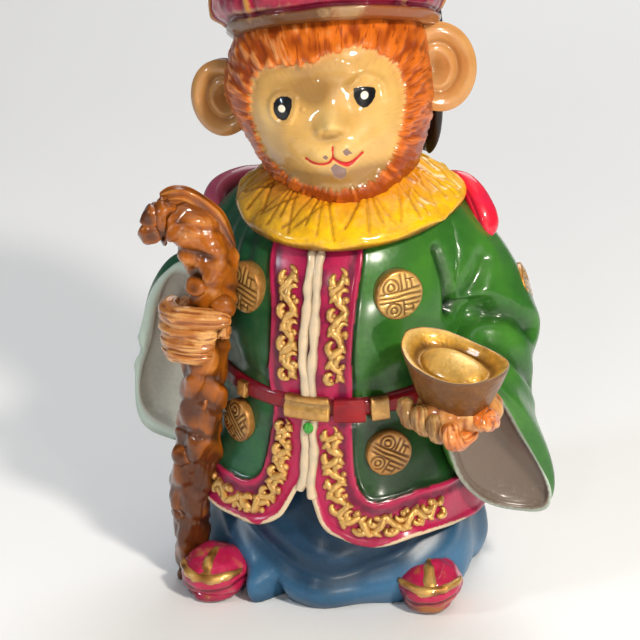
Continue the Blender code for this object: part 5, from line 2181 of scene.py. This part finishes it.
@dataclass
class Face:
    """The head with its bare face, features and carved fur.

    Lines and outlines are pairs of mm across and up the face. Where the face is lit or shaded, and the
    beard's side, are hills as in FACE_FORMS.
    """

    pose: HeadPose
    rows: int = 176
    columns: int = 360
    middle: tuple = (0.3, -3.5)
    outline_angles: tuple = (
        -14, 0, 10, 21, 35, 47, 56, 64, 76, 91, 98, 116, 129, 137, 151, 158, 167, 176, 190, 204, 229, 251,
        273, 291, 312, 330, 346, 360, 370,
    )
    outline_reach: tuple = (
        13.5, 14.1, 14.9, 15.5, 16.0, 16.0, 15.5, 14.9, 13.4, 12.3, 11.9, 13.2, 15.6, 16.6, 16.4, 16.0, 15.6,
        14.9, 14.8, 14.3, 13.5, 12.6, 12.9, 13.3, 13.4, 13.5, 13.5, 14.1, 14.9,
    )
    left_eye: tuple = (
        (-10.05, 0.5), (-9.85, 1.5), (-9.2, 2.3), (-8.1, 2.75), (-6.9, 2.6), (-6.1, 2.0), (-6.3, 0.6),
        (-6.9, -0.7), (-7.7, -1.7), (-8.6, -1.85), (-9.5, -1.3), (-9.95, -0.4),
    )
    right_eye: tuple = (
        (5.75, 2.35), (7.0, 2.45), (8.4, 2.2), (9.6, 1.75), (9.85, 1.1), (9.5, 0.0), (8.8, -0.9),
        (7.9, -1.5), (7.0, -1.55), (6.1, -0.6), (5.6, 0.8),
    )
    mouth_left: tuple = ((-5.0, -9.5), (-3.9, -10.4), (-2.5, -10.9), (-0.9, -10.8), (0.15, -9.9))
    mouth_right: tuple = ((0.15, -9.9), (0.9, -10.7), (1.9, -11.4), (3.1, -11.6), (4.4, -10.9), (5.7, -9.9))
    groove: tuple = ((0.45, -7.8), (0.15, -9.9))
    lid: tuple = ((5.2, 2.9), (6.85, 4.05), (8.75, 4.4), (10.6, 3.2), (11.6, 1.4), (11.6, -0.6))
    big_chip: tuple = ((-0.7, -11.9), (0.35, -11.1), (2.3, -12.5), (1.9, -14.0), (0.9, -14.4), (-0.2, -13.7))
    lip_chip: tuple = ((2.2, -8.8), (3.1, -8.3), (4.1, -9.7), (3.3, -9.6), (2.9, -9.9), (2.5, -9.6))
    small_chip: tuple = ((-1.9, -9.4), (-1.1, -9.1), (-0.6, -9.6), (-1.2, -10.1))
    eye_lights: tuple = ((-8.34, 0.45), (7.66, 0.75))
    eye_light: float = 0.72
    lit: tuple = (
        (1, 0.8, 2.0, -2.6, 2.2), (0.7, 1.0, 8, -9.5, 4.0), (0.5, 10.5, 2.5, -1.5, 5),
        (0.5, -11.5, 2.0, -1.5, 3.5),
    )
    shaded: tuple = (
        (1, -3.5, 8, 4.0, 3.2), (0.8, -1.4, 2.6, 2.0, 2.4), (0.8, 0.4, 2.4, -6.1, 1.0),
        (0.35, 1, 8, 8.5, 2.5),
    )
    beard: tuple = ((1.3, 9, 5.5, -15.5, 4.5), (1.4, 4, 7, -18.5, 4))
    off_face: float = -9.0

    def face_distance(self, x: np.ndarray, z: np.ndarray) -> np.ndarray:
        """Distance outside the bare face: the reach from its middle minus a smooth reach by angle.

        Args:
            x: place across the face in mm.
            z: place up the face in mm.

        Returns:
            The distance in mm, below 0 on the face.
        """
        dx, dz = x - self.middle[0], z - self.middle[1]
        angle = np.degrees(np.arctan2(dz, dx))
        angle = np.where(angle < 0, angle + 360, angle)
        return np.hypot(dx, dz) - eased(self.outline_angles, self.outline_reach, angle)

    def strands(self, x: np.ndarray, z: np.ndarray, along: np.ndarray) -> np.ndarray:
        """A space whose lines run with the fur.

        They lie round a circle by direction, and along by the way back from the face. Above the face they
        part from a point far below, so that the fringe hangs nearly straight.

        Args:
            x: place across the face in mm.
            z: place up the face in mm.
            along: way back from the face's middle.

        Returns:
            Points of that space, in mm.
        """
        rise = z - self.middle[1] + 10 * step(z - 1, 5)
        angle = np.arctan2(rise, x - self.middle[0])
        return np.stack([20 * np.cos(angle), 20 * np.sin(angle), 0.32 * along], -1)

    def mouth(self, x: np.ndarray, z: np.ndarray) -> list[np.ndarray]:
        """Distance to the left and to the right half of the mouth's line."""
        return [path_distance(x, z, smooth_path(half, 20)) for half in (self.mouth_left, self.mouth_right)]

    def features(self, x: np.ndarray, z: np.ndarray) -> np.ndarray:
        """How far the features stand forward of the skull, in mm: soft hills, ridges and grooves.

        Args:
            x: place across the face in mm.
            z: place up the face in mm.

        Returns:
            The height in mm.
        """
        forms = hills(x, z, [hill for form in FACE_FORMS.values() for hill in form])
        lid = 0.75 * bump(path_distance(x, z, smooth_path(self.lid, 24)), 0.7)
        left_lid = 0.45 * bump(inside_distance(x, z, self.left_eye) + 0.7, 0.5)
        mouth = -0.55 * bump(np.minimum(*self.mouth(x, z)), 0.38)
        groove = -0.4 * bump(path_distance(x, z, self.groove), 0.4)
        return forms + lid + left_lid + mouth + groove

    def painted(self, x: np.ndarray, z: np.ndarray) -> dict[str, np.ndarray]:
        """Signed distances into what is painted: the eyes, their lights, the lips' line and the chips.

        Args:
            x: place across the face in mm.
            z: place up the face in mm.

        Returns:
            The distances in mm, by the names of their values.
        """
        left, right = self.mouth(x, z)
        wider = 0.22 * bump(x - 2.6, 1.3)
        strokes = [0.24 - left, 0.26 + wider - right, 0.2 - path_distance(x, z, self.groove)]
        chips = [inside_distance(x, z, chip) for chip in (self.big_chip, self.lip_chip, self.small_chip)]
        lights = [self.eye_light - np.hypot(x - across, z - up) for across, up in self.eye_lights]
        return {
            "eye": np.maximum(inside_distance(x, z, self.left_eye), inside_distance(x, z, self.right_eye)),
            "eye_light": np.maximum(*lights),
            "lip": np.maximum.reduce(strokes),
            "chip": np.maximum.reduce(chips),
        }

    def tones(self, x: np.ndarray, z: np.ndarray, outside: np.ndarray) -> dict[str, np.ndarray]:
        """Where the face is lit, where brow and chin shade it, and where the fringe hangs over it.

        Args:
            x: place across the face in mm.
            z: place up the face in mm.
            outside: distance outside the bare face in mm.

        Returns:
            Shares by the names of their values.
        """
        shade = hills(x, z, self.shaded) + 0.45 * bump(outside + 0.6, 1.4) * step(-x, 5)
        shade += 1.3 * step(-z - 12.6, 1.2) + 0.5 * bump(x + 10, 5) * step(-z - 7.5, 2.0)
        fringe = 0.62 * bump(outside + 0.2, 1.0) * step(z + 4, 6)
        return {"lit": hills(x, z, self.lit), "brow_shade": shade, "fringe": fringe}

    def skull(self) -> tuple[np.ndarray, np.ndarray, np.ndarray]:
        """The plain skull: an ellipsoid about the face's axis, wider at the crown and narrower at the jaw.

        Returns:
            The rings' angle from the face's axis, the directions from the middle, and the points in mm.
        """
        knots = (0, 0.25, 0.5, 0.7, 0.84, 1)
        angles = (0.012, 0.46, 0.92, 1.4, 1.95, math.pi - 0.02)
        polar = eased(knots, angles, np.linspace(0, 1, self.rows))[:, None]
        turned = around(self.columns)[None]
        back, out = -np.cos(polar) * np.ones_like(turned), np.sin(polar)
        direction = np.stack([out * np.cos(turned), back, out * np.sin(turned)], -1)
        skull = direction * np.asarray(self.pose.radii) - (0.6, 0, 0)
        crown = self.pose.crown_width * step(skull[..., 2] - 8, 4) * step(skull[..., 0], 6)
        jaw = self.pose.jaw_taper * step(-skull[..., 2] - 1, 4) * step(-skull[..., 0], 6)
        skull[..., 0] *= 1 + crown - jaw
        return polar, direction, skull

    def build(self) -> None:
        """Makes the head: the skull, moved forward by the features and raised by the fur."""
        polar, direction, skull = self.skull()
        x, z = skull[..., 0].copy(), skull[..., 2].copy()
        ahead = -direction[..., 1]
        in_front = step(ahead - 0.25, 0.15)
        outside = np.where(ahead > 0.1, self.face_distance(x, z), -self.off_face)
        strand = self.strands(x, z, 21 * polar * np.ones_like(x))
        lock, hair = grain(strand, 2.0, 1) - 0.5, grain(strand, 0.75, 2) - 0.5
        ragged = outside + hair
        fur = step(ragged, 0.3)
        painted = self.painted(x, z)
        waves = 0.6 * grain(skull, 3.6, 17) + 0.1 * grain(skull, 1.8, 23) - 0.35
        waves = waves * step(-outside - 0.5, 0.4)
        skull[..., 1] -= (self.features(x, z) + waves - 0.22 * step(painted["chip"], 0.05)) * in_front
        skull *= (1 + 0.010 * fur)[..., None]
        rings = placed(skull, self.pose.axes(), self.pose.centre)
        beard = hills(x, z, self.beard) * step(outside + 0.6, 1.2)
        rings = raised(rings, fur * (0.45 + 0.4 * lock + 0.6 * hair) + beard)
        # Painted shade: the grooves' dark paint spreads under the chin and over the left side of the fur.
        under = step(-z - 10.5, 2.5) * (0.35 + 0.65 * step(x + 2, 6))
        groove = 0.3 + under + 0.4 * step(-x - 12, 3) - 2.2 * (0.6 * lock + hair)
        # Painted sheen: the fur's upper left takes more of the pale tip paint.
        sheen_side = step(-x - 0.6 * z + 9.0, 5.0) * step(z - 3.0, 3.0)
        tip = clipped(0.4 + 1.6 * hair) * (0.2 + 0.8 * sheen_side) * (1 - 0.8 * under)
        values = {"fur": ragged, "fur_groove": clipped(groove) * fur, "fur_tip": tip * fur}
        values.update(self.tones(x, z, outside))
        only_front = np.where(ahead > 0, 0, self.off_face)
        values.update({name: distance + only_front for name, distance in painted.items()})
        skin = Skin(rings, values, strand * (2.2, 2.2, 1.0))
        cast("head_and_fur", [skin], FACE_AND_FUR)


@dataclass
class Ears:
    """The two round ears that stand out from under the hat."""

    pose: HeadPose
    seat: tuple = (1.8, 1.9)
    splay: float = 14.0
    sizes: tuple = ((1, 7.5, 8.9, 21.7), (-1, 6.5, 7.7, 21.8))
    rings: int = 60
    sides: int = 110

    def ear(self, side: int, half_width: float, half_height: float, out: float) -> Skin:
        """One ear: a rolled rim, a moat inside it, an inner fold that runs round like a C, and a domed back.

        Args:
            side: -1 or 1.
            half_width: in mm.
            half_height: in mm.
            out: how far the ear's middle is from the head's, in mm.

        Returns:
            The ear's skin.
        """
        share, angle = np.linspace(0.01, 1, self.rings)[:, None], around(self.sides)[None]
        x, z = share * np.cos(angle), share * np.sin(angle)
        toward = side * x
        rim = bump(share - 0.8, 0.2)
        fold = bump(np.hypot(toward + 0.1, z + 0.02) - 0.4, 0.09) * step(toward + 0.3, 0.12)
        moat = bump(np.hypot(toward + 0.05, z) - 0.55, 0.07)
        flap = bump(toward + 0.4, 0.13) * bump(z + 0.05, 0.15)
        bowl = bump(np.hypot(toward + 0.14, z + 0.04), 0.27)
        front = -1.0 - 1.3 * rim + 0.5 * moat - 0.3 * fold + 1.8 * bowl - 1.1 * flap
        behind = share[::-4]
        back = (1.6 + 0.8 * (1 - behind**2)) * np.ones_like(angle)
        back_skin = np.stack([behind * np.cos(angle), back, behind * np.sin(angle)], -1)
        skin = np.concatenate([np.stack([x, front, z], -1), back_skin]) * (half_width, 1, half_height)
        axes = self.pose.axes()
        centre = placed(np.array([side * out, *self.seat]), axes, self.pose.centre)
        # Painted shade in the bowl and moat, and over the whole left ear.
        bowl_shade = clipped(bowl + 0.4 * moat - flap + 0.5 * (side < 0))
        hollow = clipped(0.4 * moat + 0.15 * bowl - 0.4 * fold)
        values = {"bowl": with_rows(bowl_shade, 0, len(behind)), "hollow": with_rows(hollow, 0, len(behind))}
        return Skin(placed(skin, axes @ turn("Z", side * self.splay), centre), values)

    def build(self) -> None:
        """Makes both ears."""
        cast("ears", [self.ear(*size) for size in self.sizes], EAR_SKIN)


@dataclass
class Hat:
    """The crimson hat with its brown-gold rim, gold seams and knob."""

    pose: HeadPose
    seat: tuple = (1.7, 0.2, 11.6)
    tilt: float = -13.2
    roll: float = 3.5
    seams: tuple = (-131.0, -86.0, -41.0, 46.0, 92.0, 139.0, 180.0)
    levels: tuple = (0, 1.2, 4, 9, 15, 20, 24, 27, 27.5)
    radii: tuple = (20.4, 21.3, 21.6, 21.6, 20.6, 17.4, 12.6, 5.0, 1.0)
    rim_top: float = 6.0
    rim_rings: int = 42
    crown_rings: int = 52
    sides: int = 320
    knob_level: float = 28.0
    knob_radii: tuple = (3.2, 3.2, 2.6)

    @staticmethod
    def points(radius: np.ndarray, angle: np.ndarray, level: np.ndarray) -> np.ndarray:
        """Points round the hat's axis; angle 0 faces forward."""
        return np.stack([radius * np.sin(angle), -radius * np.cos(angle), level * np.ones_like(angle)], -1)

    def seam_angle(self, angle: np.ndarray) -> np.ndarray:
        """Angle to the nearest seam."""
        return np.abs([wrapped(angle - math.radians(seam)) for seam in self.seams]).min(0)

    def knob(self, axes: np.ndarray, seat: np.ndarray) -> Skin:
        """The gold knob on top, with petals: a cosine round it that fades at both poles.

        Args:
            axes: the hat's axes.
            seat: where the hat sits.

        Returns:
            The knob's skin.
        """
        rings, sides, petals = 32, 48, 8
        top = placed(np.array([0, 0, self.knob_level]), axes, seat)
        plain = ball(top, self.knob_radii, rings=rings, sides=sides)
        petal = 0.28 * np.cos(petals * around(sides))[None] * np.sin(np.linspace(0, math.pi, rings))[:, None]
        hollow = clipped(-3 * petal)
        return Skin(raised(plain, petal), {"gilt": 1.0, "rim": -1.0, "rim_worn": -1.0, "hollow": hollow})

    def build(self) -> None:
        """Makes the hat: a rim with an overhang, a crown that puffs between its seams, and a knob."""
        axes = self.pose.axes() @ turn("X", self.tilt) @ turn("Y", self.roll)
        seat = placed(np.array(self.seat), self.pose.axes(), self.pose.centre)
        angle = around(self.sides)[None] - math.pi
        degrees = np.degrees(angle)
        rim = np.linspace(0, self.rim_top, self.rim_rings)
        crown = np.linspace(self.rim_top + 0.1, self.levels[-1], self.crown_rings)
        level = np.concatenate([rim, crown])[:, None]
        radius = eased(self.levels, self.radii, level)
        fade = step(level - 4, 1.5) * step(24 - level, 3)
        radius = radius + 1.7 * np.abs(np.cos(2 * (angle - math.radians(4)))) * fade
        radius = radius - 1.2 * bump(angle + 1.5, 0.6) * step(3.6 - level, 0.6)
        uneven = grain(self.points(21, angle, 0), 7.0, 2) - 0.5
        top = 1.9 + 0.8 * uneven + 0.8 * bump(degrees + 60, 12)
        in_rim = top - level
        roll = 0.45 * bump(level - 1.1, 1.2) + 0.1 * bump(in_rim - 0.3, 0.5)
        roll = roll - 0.8 * bump(in_rim + 0.45, 0.45)
        aside = self.seam_angle(angle) * radius
        cord = 0.7 * bump(aside, 0.75) - 0.35 * bump(aside - 1.7, 0.6)
        plain = self.points(radius, angle, level)
        cloth = step(level - top, 0.3)
        crumple = 0.9 * (grain(plain, 4.5, 6) - 0.5) + 0.35 * (grain(plain, 1.6, 7) - 0.5)
        lift = roll + cloth * (cord + crumple * step(26 - level, 1)) + (1 - cloth) * 0.3 * crumple
        hollow = 0.9 * bump(in_rim + 0.5, 0.6) + 0.5 * bump(aside - 1.7, 0.8) * cloth - crumple * 0.4
        # A pale patch on the rim, and a painted highlight along the rim's top edge.
        patch = 1.2 * bump(degrees - 14, 11) * step(in_rim + 0.1, 0.3)
        edge_light = 1.3 * bump(degrees + 38, 20) * bump(in_rim + 0.6, 1.0)
        # Painted light: the rim's right side is painted warmer and lighter.
        values = {
            "rim": in_rim,
            "rim_worn": patch + edge_light - 0.6 + 0.8 * (grain(plain, 2.4, 9) - 0.5),
            "rim_warm": step(degrees - 12 + 30 * (grain(plain, 3.0, 19) - 0.5), 8) * step(in_rim, 0.3),
            "gilt": np.where(level > top, 0.75 - aside, -1.0),
            "hollow": clipped(hollow),
        }
        cap = Skin(placed(self.points(radius + lift, angle, level), axes, seat), values)
        cast("hat", [cap, self.knob(axes, seat)], HAT_CLOTH)


@dataclass
class Drape:
    """The dark drape that hangs behind the head from the hat to the collar."""

    half_height: float = 17.5
    middle: float = 103.0
    reach: tuple = (-0.85, 1.08)
    radius: float = 22.6
    rings: int = 100
    sides: int = 110

    def build(self) -> None:
        """Makes the drape: a thick curved sheet round the back of the head, in shallow flutes."""
        share = np.linspace(0, 1, self.rings)[:, None]
        sweep = self.reach[0] + (self.reach[1] - self.reach[0]) * share
        turn_over = around(self.sides)[None]
        height = self.half_height * end_rounding(share, 0.12) * bent(np.sin(turn_over), 0.5)
        flutes = 0.25 * np.cos(9 * sweep) + 0.22 * np.cos(27 * sweep + 0.1 * height)
        hat_edge = 112.6 - 7.0 * np.cos(sweep) + 2.2 * np.sin(sweep)
        tuck = 3.4 * step(self.middle + height - hat_edge - 1.5, 1.0) * step(0.75 - sweep, 0.1)
        radius = self.radius + 1.4 * end_rounding(share, 0.06) * np.cos(turn_over) + flutes - tuck
        x, y = -2.5 + radius * np.sin(sweep), -1 + radius * np.cos(sweep)
        cast("back_drape", [Skin(np.stack([x, y, self.middle + height], -1))], DRAPE_BLACK)


# The stage


@dataclass(frozen=True)
class Lamp:
    """A round soft light: its name, its place and size in metres, its power in watts and its colour."""

    name: str
    place: tuple
    size: float
    power: float
    colour: tuple

    def build(self, aim: Vector) -> None:
        """Makes the light, facing the point it is aimed at.

        Args:
            aim: the point it faces.
        """
        data = bpy.data.lights.new(self.name, "AREA")
        data.shape = "DISK"
        data.energy, data.size, data.color = self.power, self.size, self.colour
        lamp = bpy.data.objects.new(self.name, data)
        lamp.location = self.place
        lamp.rotation_mode = "QUATERNION"
        lamp.rotation_quaternion = (aim - Vector(self.place)).to_track_quat("-Z", "Y")
        bpy.context.scene.collection.objects.link(lamp)


@dataclass
class Studio:
    """A pale floor, soft lights and the camera at the photograph's angle. Lengths are in metres."""

    azimuth: float = 12.0
    elevation: float = 20.0
    distance: float = 0.4
    lens: float = 108.0
    sensor: float = 36.0
    clip: tuple = (0.01, 50.0)
    sideways: float = -0.005625
    aim_height: float = 0.0525
    lit_height: float = 0.08
    reach: float = 6.0
    floor_drop: float = 0.00005
    floor_tones: tuple = ((0.9, 0.9, 0.9, 1), (0.94, 0.94, 0.94, 1))
    floor_roughness: float = 0.9
    surround: float = 0.09
    lamps: tuple = (
        Lamp("key", (0.32, -0.36, 0.42), 0.07, 2.6, (1.0, 0.94, 0.84)),
        Lamp("low_lamp", (0.42, -0.58, 0.09), 0.024, 1.1, (1.0, 0.93, 0.82)),
        Lamp("window", (-0.42, -0.30, 0.30), 0.08, 0.7, (0.78, 0.89, 1.0)),
        Lamp("front", (0.0, -0.6, 0.3), 0.05, 0.35, (1.0, 0.97, 0.93)),
        Lamp("backdrop", (0.1, 1.0, 1.0), 1.0, 9.0, (1.0, 1.0, 1.0)),
        Lamp("overhead", (0.3, 0.5, 3.0), 2.5, 16.0, (1.0, 0.98, 0.95)),
    )

    def camera(self) -> None:
        """Places the camera: back from a point on the figure's axis, moved a little sideways."""
        a, e = math.radians(self.azimuth), math.radians(self.elevation)
        ahead = Vector((-math.sin(a) * math.cos(e), math.cos(a) * math.cos(e), -math.sin(e)))
        right = Vector((math.cos(a), math.sin(a), 0))
        data = bpy.data.cameras.new("camera")
        data.lens, data.sensor_width = self.lens, self.sensor
        data.clip_start, data.clip_end = self.clip
        eye = bpy.data.objects.new("camera", data)
        eye.location = Vector((0, 0, self.aim_height)) + right * self.sideways - ahead * self.distance
        eye.rotation_mode = "QUATERNION"
        eye.rotation_quaternion = ahead.to_track_quat("-Z", "Y")
        bpy.context.scene.collection.objects.link(eye)
        bpy.context.scene.camera = eye

    def floor(self) -> None:
        """A wide pale floor."""
        mesh = bpy.data.meshes.new("floor")
        corners = [(x * self.reach, y * self.reach, 0) for x, y in ((-1, -1), (1, -1), (1, 1), (-1, 1))]
        mesh.from_pydata(corners, [], [(0, 1, 2, 3)])
        sheet = bpy.data.objects.new("floor", mesh)
        sheet.location = (0, 0, -self.floor_drop)
        bench = Bench("floor_paper")
        bench.plug(bench.shader.inputs["Base Color"], bench.mix(bench.noise(0.004), *self.floor_tones))
        bench.shader.inputs["Roughness"].default_value = self.floor_roughness
        mesh.materials.append(bench.made)
        bpy.context.scene.collection.objects.link(sheet)

    def build(self) -> None:
        """Sets the stage."""
        self.camera()
        self.floor()
        for lamp in self.lamps:
            lamp.build(Vector((0, 0, self.lit_height)))
        world = bpy.data.worlds.new("studio")
        world.use_nodes = True
        colour, strength = world.node_tree.nodes["Background"].inputs[:2]
        colour.default_value = WHITE
        strength.default_value = self.surround
        bpy.context.scene.world = world
        bpy.context.scene.view_settings.view_transform = "Standard"


def main() -> None:
    """Builds every sub-assembly in order, then notes the sizes."""
    logging.basicConfig(level=logging.INFO, format="%(message)s")
    torso, pose = Torso(), HeadPose()
    Studio().build()
    for part in (
        Robe(torso, np.stack([sleeve.outside()[::3, ::3] for sleeve in (INGOT_SLEEVE, STAFF_SLEEVE)])),
        Belt(torso),
        Roundels(torso),
        Collar(torso),
        Underskirt(),
        Shoes(),
        Ribbons(),
        Staff(),
        Hands(),
        Ingot(),
        Face(pose),
        Ears(pose),
        Hat(pose),
        Drape(),
    ):
        part.build()
    for sleeve in (INGOT_SLEEVE, STAFF_SLEEVE):
        sleeve.build(torso)


if __name__ == "__main__":
    main()
